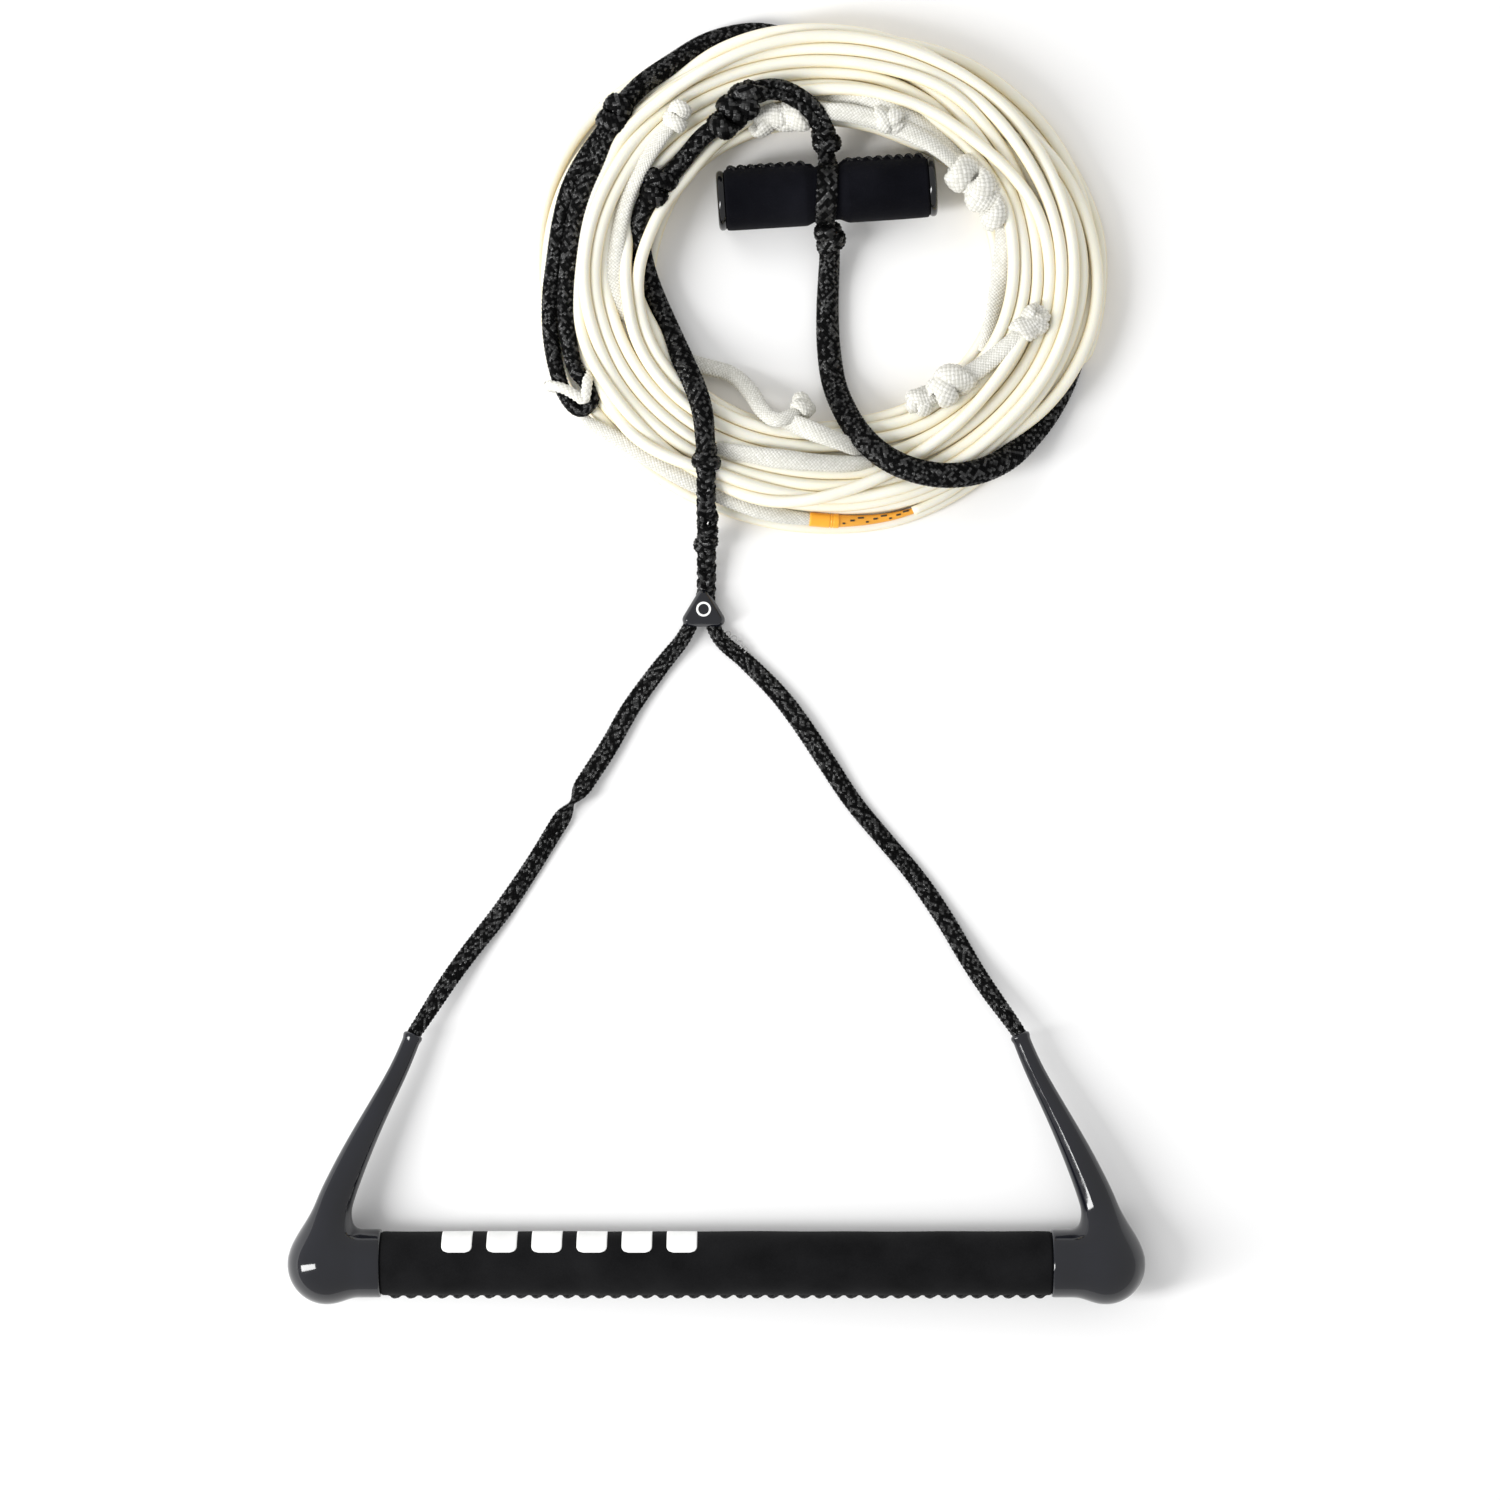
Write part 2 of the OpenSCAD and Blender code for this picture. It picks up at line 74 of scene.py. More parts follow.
def add_object(name, data):
    made = bpy.data.objects.new(name, data)
    bpy.context.collection.objects.link(made)
    return made


def add_camera():
    data = bpy.data.cameras.new("camera")
    data.sensor_width = SENSOR
    data.lens = SENSOR * CAMERA_HEIGHT / VIEW_WIDTH
    data.clip_end = 20
    camera = add_object("camera", data)
    camera.location = (VIEW_CENTRE[0] * MM, VIEW_CENTRE[1] * MM, CAMERA_HEIGHT * MM)
    bpy.context.scene.camera = camera


add_camera()


# ---- Curves and meshes ----

# Grid steps across one yarn of a braid, and how far yarns rise and fall where they cross, over the relief
YARN_STEPS = 3
WEAVE_LIFT = 0.9
# How far along a braid a lift off the floor is eased out
LIFT_REACH = 6

def unit(v):
    v = np.asarray(v, float)
    return v / np.maximum(np.linalg.norm(v, axis=-1, keepdims=True), 1e-9)


def ease(t):
    """A smooth step from 0 to 1."""
    t = np.clip(t, 0, 1)
    return t * t * (3 - 2 * t)


def arc_length(points):
    return np.concatenate([[0], np.cumsum(np.linalg.norm(np.diff(points, axis=0), axis=1))])


def path_length(points):
    return float(arc_length(points)[-1])


def smoothed(values, rounds, rate=0.25):
    """Values drawn towards the middle of their neighbours, round after round, with both ends kept."""
    values = values.copy()
    for _ in range(rounds):
        values[1:-1] += rate * (values[:-2] + values[2:] - 2 * values[1:-1])
    return values


def resample(points, spacing):
    """Points at even steps of about spacing along a line of points."""
    at = arc_length(points)
    want = np.linspace(0, at[-1], max(3, int(round(at[-1] / spacing)) + 1))
    return np.column_stack([np.interp(want, at, points[:, k]) for k in range(3)])


def smooth_route(route, spacing, rounds=6):
    """Points every spacing along the smooth curve through a route's points."""
    p = np.array(route, float)
    q = np.vstack([2 * p[0] - p[1], p, 2 * p[-1] - p[-2]])
    t = np.linspace(0, 1, 20, endpoint=False)[:, None]
    fine = []
    for i in range(len(p) - 1):
        a, b, c, d = q[i:i + 4]
        fine.append(0.5 * (2 * b + (c - a) * t + (2 * a - 5 * b + 4 * c - d) * t**2
                           + (3 * b - a - 3 * c + d) * t**3))
    points = resample(np.vstack(fine + [p[-1:]]), 1)
    return resample(smoothed(points, rounds), spacing)


def axes_along(points, up=None, lying=True, twist=0):
    """The side and up directions at each point: level for a rope that lies, else carried along the rope."""
    tangent = unit(np.gradient(points, axis=0))
    if up is not None:
        side = unit(np.cross(up, tangent))
    elif lying:
        side = unit(np.cross(Z, tangent))
    else:
        first = np.cross(Z, tangent[0])
        if np.linalg.norm(first) < 0.2:
            first = np.cross([1, 0, 0], tangent[0])
        side = np.zeros_like(points)
        side[0] = unit(first)
        for i in range(1, len(points)):
            side[i] = unit(side[i - 1] - tangent[i] * np.dot(side[i - 1], tangent[i]))
    above = np.cross(tangent, side)
    turn = np.broadcast_to(twist, len(points))[:, None]
    return np.cos(turn) * side + np.sin(turn) * above, np.cos(turn) * above - np.sin(turn) * side


def along(values, count):
    """One value per point from one number, or from a few spread evenly along the rope."""
    values = np.atleast_1d(np.asarray(values, float))
    return np.interp(np.linspace(0, 1, count), np.linspace(0, 1, len(values)), values)


def add_piece(name, verts, faces, material, body, uv=None):
    """A mesh piece from points in mm, with optional weave coordinates for each face corner.

    It stands for the CAD node that has its name, if there is one."""
    is_node = name in frame["nodes"]
    mesh = bpy.data.meshes.new(name + "_look" if is_node else name)
    mesh.from_pydata((np.asarray(verts) * MM).tolist(), [], faces)
    if uv is not None:
        layer = mesh.uv_layers.new(name="weave")
        layer.data.foreach_set("uv", np.asarray(uv, np.float32).ravel())
    mesh.polygons.foreach_set("use_smooth", [True] * len(mesh.polygons))
    mesh.materials.append(material)
    mesh.update()
    piece = add_object(mesh.name, mesh)
    if body:
        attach(piece, body)
    if is_node:
        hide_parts(name)
    return piece


def even_angles(fraction, wide, thick):
    """Angles round an oval, at fractions of its outline."""
    fine = np.linspace(0, math.tau, 721)
    at = arc_length(np.column_stack([wide * np.cos(fine), thick * np.sin(fine)]))
    return np.interp(fraction * at[-1], at, fine)


def weave_height(a, b):
    """Height of a plain braid over its core, where yarns of both families are one unit apart."""
    i, j = np.floor(a), np.floor(b)
    fa, fb = a - i - 0.5, b - j - 0.5
    lift = np.where((i + j) % 2 == 0, WEAVE_LIFT, -WEAVE_LIFT)
    across_a = np.sqrt(np.maximum(0, 1 - 3.9 * fa**2))
    across_b = np.sqrt(np.maximum(0, 1 - 3.9 * fb**2))
    return np.maximum(across_a + lift * np.cos(math.pi * fb), across_b - lift * np.cos(math.pi * fa))


def braid_surface(points, half_w, half_t, yarns, relief, twist, up, lying):
    """Rows of points over a braided rope. Odd rows are shifted half a step, so the grid follows the yarns."""
    rows, cols = len(points), yarns * YARN_STEPS
    side, above = axes_along(points, up, lying, twist)
    w, t = along(half_w, rows)[:, None], along(half_t, rows)[:, None]
    r = np.arange(rows)[:, None]
    c = 2 * np.arange(cols)[None, :] + r % 2
    angle = even_angles(c / (2 * cols), float(np.mean(w)), float(np.mean(t)))
    height = relief * weave_height((c - r) / (2 * YARN_STEPS), (c + r) / (2 * YARN_STEPS))
    out_w, out_t = np.cos(angle) / w, np.sin(angle) / t
    size = np.hypot(out_w, out_t)
    x = (w - relief * 1.2) * np.cos(angle) + height * out_w / size
    y = (t - relief * 1.2) * np.sin(angle) + height * out_t / size
    return points[:, None, :] + x[..., None] * side[:, None, :] + y[..., None] * above[:, None, :]


def braid_faces(first, last, cols):
    """Diamond faces of rows first to last, and their corners' weave coordinates."""
    r = np.repeat(np.arange(first, last - 1), cols)
    j = np.tile(np.arange(cols), last - 1 - first)
    odd = r % 2
    c = 2 * j + odd
    corners = np.stack([r * cols + j, (r + 1) * cols + (j + odd) % cols,
                        (r + 2) * cols + j, (r + 1) * cols + (j + odd - 1) % cols], axis=1)
    rr = np.stack([r, r + 1, r + 2, r + 1], axis=1)
    cc = np.stack([c, c + 1, c, c - 1], axis=1)
    uv = np.stack([(cc - rr) / (2 * YARN_STEPS), (cc + rr) / (2 * YARN_STEPS)], axis=2)
    return corners - first * cols, uv


def lift_off_floor(lowest, reach):
    """How far to raise each ring so that none dips into the floor, changing smoothly along the rope."""
    need = np.maximum(0, FLOOR_GAP - lowest)
    padded = np.pad(need, reach, mode="edge")
    highest = np.array([padded[i:i + 2 * reach + 1].max() for i in range(len(need))])
    kernel = np.hanning(2 * reach + 3)[1:-1]
    return np.convolve(np.pad(highest, reach, mode="edge"), kernel / kernel.sum(), mode="valid")


def braid(name, points, half_w, half_t, material, body="rope", yarns=8, pitch=27.0, relief=0.28, twist=0,
          up=None, lying=True, part=(0, 1)):
    """A hollow braid along points. part picks a stretch of it, so that two pieces can share one braid."""
    spacing = pitch / (2 * yarns * YARN_STEPS)
    path = resample(points, spacing)
    t = np.linspace(0, 1, len(path))
    if up is not None:
        at = np.linspace(0, 1, len(up))
        up = unit(np.column_stack([np.interp(t, at, up[:, k]) for k in range(3)]))
    if callable(twist):
        twist = twist(t)
    surface = braid_surface(path, half_w, half_t, yarns, relief, twist, up, lying)
    rows, cols = surface.shape[:2]
    lift = lift_off_floor(surface[..., 2].min(axis=1), int(LIFT_REACH / spacing))
    surface[..., 2] += lift[:, None]
    path[:, 2] += lift
    first = 2 * int(part[0] * (rows - 1) / 2)
    last = rows - 1 if part[1] >= 1 else 2 * int(part[1] * (rows - 1) / 2)
    verts = surface[first:last + 1].reshape(-1, 3)
    count = last - first
    quads, uv = braid_faces(first, last, cols)
    faces = quads.tolist()
    for at_start in (True, False):
        row, near = (0, 1) if at_start else (count, count - 1)
        odd = (first + row) % 2
        tris = [[row * cols + j, row * cols + (j + 1) % cols, near * cols + ((j + 1) % cols if odd else j)]
                for j in range(cols)]
        if part[0] <= 0 if at_start else part[1] >= 1:
            tris += [[row * cols + (j + 1) % cols, row * cols + j, len(verts)] for j in range(cols)]
            verts = np.vstack([verts, verts[row * cols:(row + 1) * cols].mean(axis=0)])
        faces += tris if at_start else [tri[::-1] for tri in tris]
    corners = 3 * (len(faces) - len(quads))
    uv = np.vstack([uv.reshape(-1, 2), np.full((corners, 2), 0.5)])
    return add_piece(name, verts, faces, material, body, uv), path[first:last + 1]


def tube_mesh(points, radius, sides, thick=None, lying=False):
    """Points, faces and line coordinates of a smooth round or oval tube, closed at both ends."""
    rows = len(points)
    side, above = axes_along(points, lying=lying)
    w = along(radius, rows)[:, None]
    t = w if thick is None else along(thick, rows)[:, None]
    angle = math.tau * np.arange(sides)[None, :] / sides
    verts = points[:, None, :] + (w * np.cos(angle))[..., None] * side[:, None, :] \
        + (t * np.sin(angle))[..., None] * above[:, None, :]
    verts = np.vstack([verts.reshape(-1, 3), points[:1], points[-1:]])
    r = np.repeat(np.arange(rows - 1), sides)
    j = np.tile(np.arange(sides), rows - 1)
    k = (j + 1) % sides
    quads = np.stack([r * sides + j, r * sides + k, (r + 1) * sides + k, (r + 1) * sides + j], axis=1)
    at = arc_length(points)
    uv = np.stack([np.stack([j, j + 1, j + 1, j], axis=1) / sides,
                   np.stack([at[r], at[r], at[r + 1], at[r + 1]], axis=1)], axis=2).reshape(-1, 2)
    faces = quads.tolist()
    for j in range(sides):
        k = (j + 1) % sides
        faces.append([k, j, rows * sides])
        faces.append([(rows - 1) * sides + j, (rows - 1) * sides + k, rows * sides + 1])
    return verts, faces, np.vstack([uv, np.zeros((6 * sides, 2))])


def tube(name, points, radius, material, sides, thick=None):
    """A piece of the rope body in the shape of a lying tube."""
    verts, faces, uv = tube_mesh(points, radius, sides, thick, lying=True)
    return add_piece(name, verts, faces, material, "rope", uv)


def round_x(x, radius, angle):
    """Points at distances along the X axis and at angles round it."""
    return np.stack(np.broadcast_arrays(x, radius * np.cos(angle), radius * np.sin(angle)), axis=-1)


def joined(meshes):
    """Several (points, faces) meshes as one."""
    verts, faces, start = [], [], 0
    for some_verts, some_faces in meshes:
        faces += [[start + i for i in face] for face in some_faces]
        verts.append(some_verts)
        start += len(some_verts)
    return np.vstack(verts), faces


def ring_faces(rings, sides):
    """Faces between rings of points that lie one after another, with both ends closed."""
    faces = []
    for start in range(0, (rings - 1) * sides, sides):
        for j in range(sides):
            k = (j + 1) % sides
            faces.append([start + j, start + k, start + sides + k, start + sides + j])
    return faces + [list(range(sides - 1, -1, -1)), [(rings - 1) * sides + j for j in range(sides)]]


# ---- Materials ----

class Surface:
    """A material built up from a principled shader, with short ways to add nodes to it."""

    def __init__(self, name, colour, roughness, **sockets):
        self.material = bpy.data.materials.new(name)
        self.material.use_nodes = True
        self.nodes = self.material.node_tree.nodes
        self.shader = self.nodes["Principled BSDF"]
        self.shader.inputs["Base Color"].default_value = (*colour, 1)
        self.shader.inputs["Roughness"].default_value = roughness
        for socket, value in sockets.items():
            self.shader.inputs[socket.replace("_", " ")].default_value = value
        self.place = self.nodes.new("ShaderNodeTexCoord").outputs["Object"]
        self.bumps = None

    def link(self, source, target):
        self.material.node_tree.links.new(source, target)

    def feed(self, socket, value):
        if hasattr(value, "is_output"):
            self.link(value, socket)
        else:
            socket.default_value = value

    def math(self, operation, a, b=0.0, c=0.0):
        node = self.nodes.new("ShaderNodeMath")
        node.operation = operation
        for socket, value in zip(node.inputs, (a, b, c)):
            self.feed(socket, value)
        return node.outputs[0]

    def linear(self, value, factor, offset):
        """value * factor + offset."""
        return self.math("ADD", self.math("MULTIPLY", value, factor), offset)

    def blend(self, factor, a, b):
        node = self.nodes.new("ShaderNodeMix")
        for index, value in ((0, factor), (2, a), (3, b)):
            self.feed(node.inputs[index], value)
        return node.outputs[0]

    def colour_blend(self, factor, a, b):
        node = self.nodes.new("ShaderNodeMix")
        node.data_type = "RGBA"
        self.feed(node.inputs[0], factor)
        for socket, value in ((node.inputs[6], a), (node.inputs[7], b)):
            self.feed(socket, value if hasattr(value, "is_output") else (*value, 1))
        return node.outputs[2]

    def mottled(self, value, low, high, a, b):
        """Colour a where value is under low, b where it is over high, and a blend between."""
        return self.colour_blend(self.steps(value, (low, 0.0), (high, 1.0)), a, b)

    def steps(self, value, *stops):
        """A ramp from (position, brightness) stops."""
        node = self.nodes.new("ShaderNodeValToRGB")
        ramp = node.color_ramp
        while len(ramp.elements) < len(stops):
            ramp.elements.new(0.5)
        for element, (position, level) in zip(ramp.elements, stops):
            element.position = position
            element.color = (level, level, level, 1)
        self.link(value, node.inputs[0])
        return node.outputs[0]

    def noise(self, scale, detail, place=None, roughness=0.5):
        node = self.nodes.new("ShaderNodeTexNoise")
        node.inputs["Scale"].default_value = scale
        node.inputs["Detail"].default_value = detail
        node.inputs["Roughness"].default_value = roughness
        self.link(place or self.place, node.inputs["Vector"])
        return node.outputs["Fac"]

    def cells(self, scale):
        node = self.nodes.new("ShaderNodeTexVoronoi")
        node.inputs["Scale"].default_value = scale
        self.link(self.place, node.inputs["Vector"])
        return node.outputs["Distance"]

    def stretched(self, x, y, z=0.0):
        """A place made of three values, for a texture that is longer one way."""
        node = self.nodes.new("ShaderNodeCombineXYZ")
        for socket, value in zip(node.inputs, (x, y, z)):
            self.feed(socket, value)
        return node.outputs[0]

    def weave(self):
        """The weave coordinates of the piece, as two values."""
        uv = self.nodes.new("ShaderNodeUVMap")
        uv.uv_map = "weave"
        split = self.nodes.new("ShaderNodeSeparateXYZ")
        self.link(uv.outputs[0], split.inputs[0])
        return split.outputs[0], split.outputs[1]

    def bump(self, height, distance, strength):
        """Adds a bump to those the material has."""
        node = self.nodes.new("ShaderNodeBump")
        node.inputs["Strength"].default_value = strength
        node.inputs["Distance"].default_value = distance
        self.link(height, node.inputs["Height"])
        if self.bumps is not None:
            self.link(self.bumps, node.inputs["Normal"])
        self.bumps = node.outputs[0]
        self.link(self.bumps, self.shader.inputs["Normal"])

    def paint(self, colour=None, roughness=None):
        if colour is not None:
            self.link(colour, self.shader.inputs["Base Color"])
        if roughness is not None:
            self.link(roughness, self.shader.inputs["Roughness"])


def braided_yarn(name, dark, light, rough, glint, fibre_depth, gloss=(0.3, 0.5)):
    """Yarns of fine filaments, which run one way where one family is on top and the other way elsewhere.

    glint is how much smoother the shiny yarns are, and gloss the shine of the dull and of the shiny ones."""
    s = Surface(name, light, rough)
    u, v = s.weave()
    cell_u, cell_v = s.math("FLOOR", u), s.math("FLOOR", v)
    over = s.math("MODULO", s.math("ABSOLUTE", s.math("ADD", cell_u, cell_v)), 2.0)
    across = s.blend(over, s.math("FRACT", u), s.math("FRACT", v))
    lengthwise = s.blend(over, v, u)
    each_yarn = s.math("ADD", cell_u, s.math("MULTIPLY", cell_v, 3.7))
    fibres = s.stretched(s.math("MULTIPLY", across, 14.0), s.math("MULTIPLY", lengthwise, 1.1), each_yarn)
    filaments = s.noise(1.0, 3.0, fibres)
    # Painted shade: the tone falls towards each yarn's edges, where it dips between its neighbours, so the
    # colour goes towards dark there.
    off_middle = s.math("MULTIPLY", s.math("ABSOLUTE", s.math("SUBTRACT", across, 0.5)), 2.0)
    body = s.steps(s.math("SUBTRACT", 1.0, off_middle), (0.0, 0.1), (0.45, 0.8), (1.0, 1.0))
    each = s.nodes.new("ShaderNodeTexWhiteNoise")
    s.link(s.stretched(cell_u, cell_v), each.inputs["Vector"])
    tone = s.math("MULTIPLY", s.math("MULTIPLY", body, s.linear(filaments, 0.9, 0.35)),
                  s.linear(each.outputs[0], 0.5, 0.6))
    wear = s.noise(60, 3.0)
    tone = s.math("MULTIPLY", tone, s.linear(wear, 0.5, 0.75))
    shiny = s.steps(each.outputs[0], (0.55, 0.0), (0.8, 1.0))
    s.paint(s.colour_blend(s.math("MINIMUM", tone, 1.0), dark, light),
            s.math("SUBTRACT", rough, s.math("MULTIPLY", shiny, glint)))
    s.link(s.blend(shiny, *gloss), s.shader.inputs["Specular IOR Level"])
    s.bump(filaments, fibre_depth, 0.7)
    return s.material


def suede(name, colour):
    """Soft synthetic suede: a short nap with faint brushed patches."""
    s = Surface(name, colour, 0.92, Sheen_Weight=0.02, Sheen_Roughness=0.5, Specular_IOR_Level=0.07)
    nap = s.noise(2600, 4.0, roughness=0.7)
    brushed = s.noise(45, 3.0)
    lighter = [min(1, c * 2.2 + 0.004) for c in colour]
    tone = s.math("MULTIPLY", s.math("ADD", nap, brushed), 0.5)
    s.paint(s.mottled(tone, 0.38, 0.66, colour, lighter), s.linear(nap, 0.14, 0.8))
    s.bump(s.noise(900, 5.0, roughness=0.65), 0.00012, 0.8)
    s.bump(brushed, 0.0004, 0.25)
    return s.material


def glossy_rubber(name, colour):
    """Moulded rubber with a wet gloss, faint flow marks, dust and rubbed spots."""
    s = Surface(name, colour, 0.1, Specular_IOR_Level=0.55)
    flow = s.noise(38, 4.0)
    rubbed = s.noise(160, 5.0, roughness=0.6)
    s.paint(s.mottled(flow, 0.35, 0.7, colour, [c * 1.5 for c in colour]),
            s.linear(s.math("POWER", rubbed, 3.0), 0.4, 0.03))
    s.bump(s.noise(320, 3.0), 0.00002, 0.15)
    s.bump(flow, 0.0005, 0.1)
    return s.material


def coated_line(name):
    """Cream plastic coating over a core: satin, slightly uneven, with rubbed and yellowed stretches, and a
    painted warm shade on each strand's sides and underside.
    """
    s = Surface(name, (0.86, 0.82, 0.69), 0.38, Specular_IOR_Level=0.4, Subsurface_Weight=0.2,
                Subsurface_Scale=0.002, Subsurface_Radius=(1.0, 0.8, 0.45))
    u, v = s.weave()
    ring = s.stretched(s.math("MULTIPLY", u, 3.0), s.math("MULTIPLY", v, 0.05))
    scuffs = s.noise(1.0, 4.0, ring)
    patches = s.noise(24, 3.0)
    tone = s.mottled(patches, 0.3, 0.75, (0.87, 0.855, 0.76), (0.86, 0.835, 0.70))
    tone = s.colour_blend(s.steps(scuffs, (0.45, 0.0), (0.8, 0.5)), tone, (0.90, 0.895, 0.85))
    # Painted shade: the sides and underside of each strand, away from its top, turn a darker, warmer cream
    # that stands in for shade and for light bounced between the turns.
    facing_up = s.math("SINE", s.math("MULTIPLY", u, math.tau))
    tone = s.colour_blend(s.steps(facing_up, (0.15, 1.0), (0.8, 0.0)), tone, (0.90, 0.79, 0.54))
    s.paint(tone, s.linear(scuffs, 0.3, 0.25))
    dents = s.stretched(s.math("MULTIPLY", u, 6.0), s.math("MULTIPLY", v, 0.35))
    s.bump(s.noise(1.0, 3.0, dents), 0.00012, 0.35)
    s.bump(s.noise(500, 3.0), 0.00006, 0.3)
    return s.material


def moulded_plastic(name, colour, rough):
    """Plain hard plastic with a fine grain and faint flow marks."""
    s = Surface(name, colour, rough)
    grain = s.noise(1400, 3.0)
    flow = s.noise(70, 3.0)
    s.paint(s.mottled(flow, 0.35, 0.7, colour, [min(1, c * 1.12) for c in colour]),
            s.linear(grain, 0.2, rough - 0.1))
    s.bump(grain, 0.00005, 0.4)
    return s.material


def brushed_tube(name):
    """Metal with fine grooves along X."""
    s = Surface(name, (0.72, 0.73, 0.75), 0.35, Metallic=1.0)
    lines = s.nodes.new("ShaderNodeMapping")
    lines.inputs["Scale"].default_value = (20, 2400, 2400)
    s.link(s.place, lines.inputs["Vector"])
    grooves = s.noise(1.0, 3.0, lines.outputs[0])
    s.paint(roughness=s.linear(grooves, 0.3, 0.2))
    s.bump(grooves, 0.00003, 0.5)
    return s.material


def closed_foam(name):
    """Grey foam with small closed cells."""
    s = Surface(name, (0.35, 0.36, 0.38), 0.9)
    pores = s.cells(900)
    s.paint(s.mottled(pores, 0.1, 0.7, (0.22, 0.23, 0.24), (0.4, 0.41, 0.43)))
    s.bump(pores, 0.0002, 0.6)
    return s.material


BLACK_BRAID = braided_yarn("black_braid", [0.0005] * 3, (0.0036, 0.0036, 0.0038), 0.5, 0.32, 0.0003,
                           gloss=(0.05, 0.8))
WHITE_BRAID = braided_yarn("white_braid", (0.58, 0.57, 0.50), (0.96, 0.95, 0.90), 0.5, 0.2, 0.0003)
PALE_YARN = braided_yarn("pale_yarn", [0.3] * 3, [0.6] * 3, 0.5, 0.2, 0.0001)
SUEDE = suede("suede", (0.0032, 0.0032, 0.0036))
NEOPRENE = suede("neoprene", (0.0012, 0.0013, 0.0028))
THREAD = braided_yarn("thread", [0.002] * 3, (0.012, 0.012, 0.013), 0.6, 0.15, 0.0001)
RUBBER = glossy_rubber("rubber", (0.0045, 0.0050, 0.0078))
DARK_RUBBER = glossy_rubber("dark_rubber", (0.0022, 0.0023, 0.0032))
LINE = coated_line("line")
ORANGE = moulded_plastic("orange", (0.95, 0.42, 0.03), 0.4)
TAPE = moulded_plastic("tape", (0.80, 0.36, 0.035), 0.5)
INK = moulded_plastic("ink", (0.05, 0.03, 0.015), 0.5)
PRINT = moulded_plastic("print", (0.86, 0.86, 0.85), 0.55)
BARE_METAL = brushed_tube("bare_metal")
FOAM = closed_foam("foam")


# ---- Places and rope routes, as in part.scad, in millimetres ----

BAR_LOW, BAR_HIGH = (np.array(corner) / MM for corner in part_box("grip_sleeve"))
BAR = (BAR_LOW + BAR_HIGH) / 2
GRIP_R = (BAR_HIGH[2] - BAR_LOW[2]) / 2
GRIP_HALF = (BAR_HIGH[0] - BAR_LOW[0]) / 2
CAP_LOW, CAP_HIGH = (np.array(corner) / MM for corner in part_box("right_end_cap"))
BALL_R = (CAP_HIGH[2] - CAP_LOW[2]) / 2
BALL_AT = np.array([CAP_HIGH[0] - BALL_R, BAR[1] - 1.3, BALL_R])
CAP_START = GRIP_HALF
COLLAR_R = 15.2
# The lip at a cap's mouth: how far its middle is back from the mouth and in from the skin, and its radius
LIP_BACK, LIP_IN, LIP_R = 1.3, 1.1, 1.35
ARM_ROUTE = [
    (173.5, -236, 16.8), (173, -219, 16), (168.5, -207, 15.2), (161.5, -191, 14), (153.8, -175.5, 12.8),
    (147, -162.5, 11.8), (141, -151, 10.8), (135.5, -137, 9.8)
]
ARM_RADII = [11, 8.6, 7.6, 6.7, 5.6, 4.7, 4.1, 3.9]

LEFT_LEG_ROUTE = [
    (-11.5, 46.5, 4.7), (-13.2, 43.2, 4.6), (-16, 38.6, 4.4), (-19.5, 34.4, 3.4), (-27, 25, 2.2),
    (-38.5, 9, 2.1), (-48.5, -8.5, 2.8), (-60.5, -27, 4.4), (-70, -41.5, 3), (-83, -62.5, 2.1),
    (-97, -83, 2.1), (-110, -99.5, 3.4), (-120.5, -114, 6), (-131.5, -131, 9), (-135.5, -137, 9.8),
    (-138, -142, 10.2)
]
RIGHT_LEG_ROUTE = [
    (-1.8, 46.5, 4.7), (-0.5, 43.2, 4.6), (2.6, 38.6, 4.4), (6.5, 35.2, 3.4), (13, 30, 2.2),
    (27, 16, 2.1), (37.5, 2.5, 2.4), (48.5, -14, 2.4), (61.5, -33.5, 2.1), (76.5, -51.5, 2.1),
    (89.5, -67, 2.1), (102.5, -86, 2.4), (114, -105.5, 4.2), (122.5, -118.5, 6.4), (131.5, -131, 9),
    (135.5, -137, 9.8), (138, -142, 10.2)
]
PLAIT_ROUTES = {
    "lower_plait": [(-5, 56, 4.8), (-4.5, 66, 4.8), (-4.5, 73, 5.4), (-4.5, 82, 8.2)],
    "upper_plait": [(-4.5, 93, 15), (-4.5, 101, 20.5), (-4.5, 107, 23.6), (-4.5, 116, 26)]
}
RISER_ROUTE = [
    (-4.5, 123, 26.8), (-5, 129, 27), (-5.5, 136, 26.4), (-7, 144, 24.6), (-10, 153, 21), (-14, 162, 16),
    (-18.5, 172, 11.6), (-23, 182, 9), (-27.5, 192.5, 8.6), (-31.5, 203.5, 10.4), (-34, 214.5, 13),
    (-34, 225, 15.6), (-31, 234.5, 17.6), (-26, 241.5, 19), (-20, 247, 19.6), (-13, 255, 20.4),
    (-6, 263, 22.6), (1.5, 268, 25)
]
ARCH_ROUTE = [
    (17, 282, 27.4), (22.5, 283.3, 27.6), (29.5, 282.8, 27), (37, 279, 26.6), (43.5, 273.5, 25),
    (47.2, 267.5, 21.6), (48.6, 262.5, 17)
]
GRIP_TOP_AT = (48.7, 262.5, 16.4)
GRIP_BOTTOM_AT = (50.6, 218.8, 12.4)
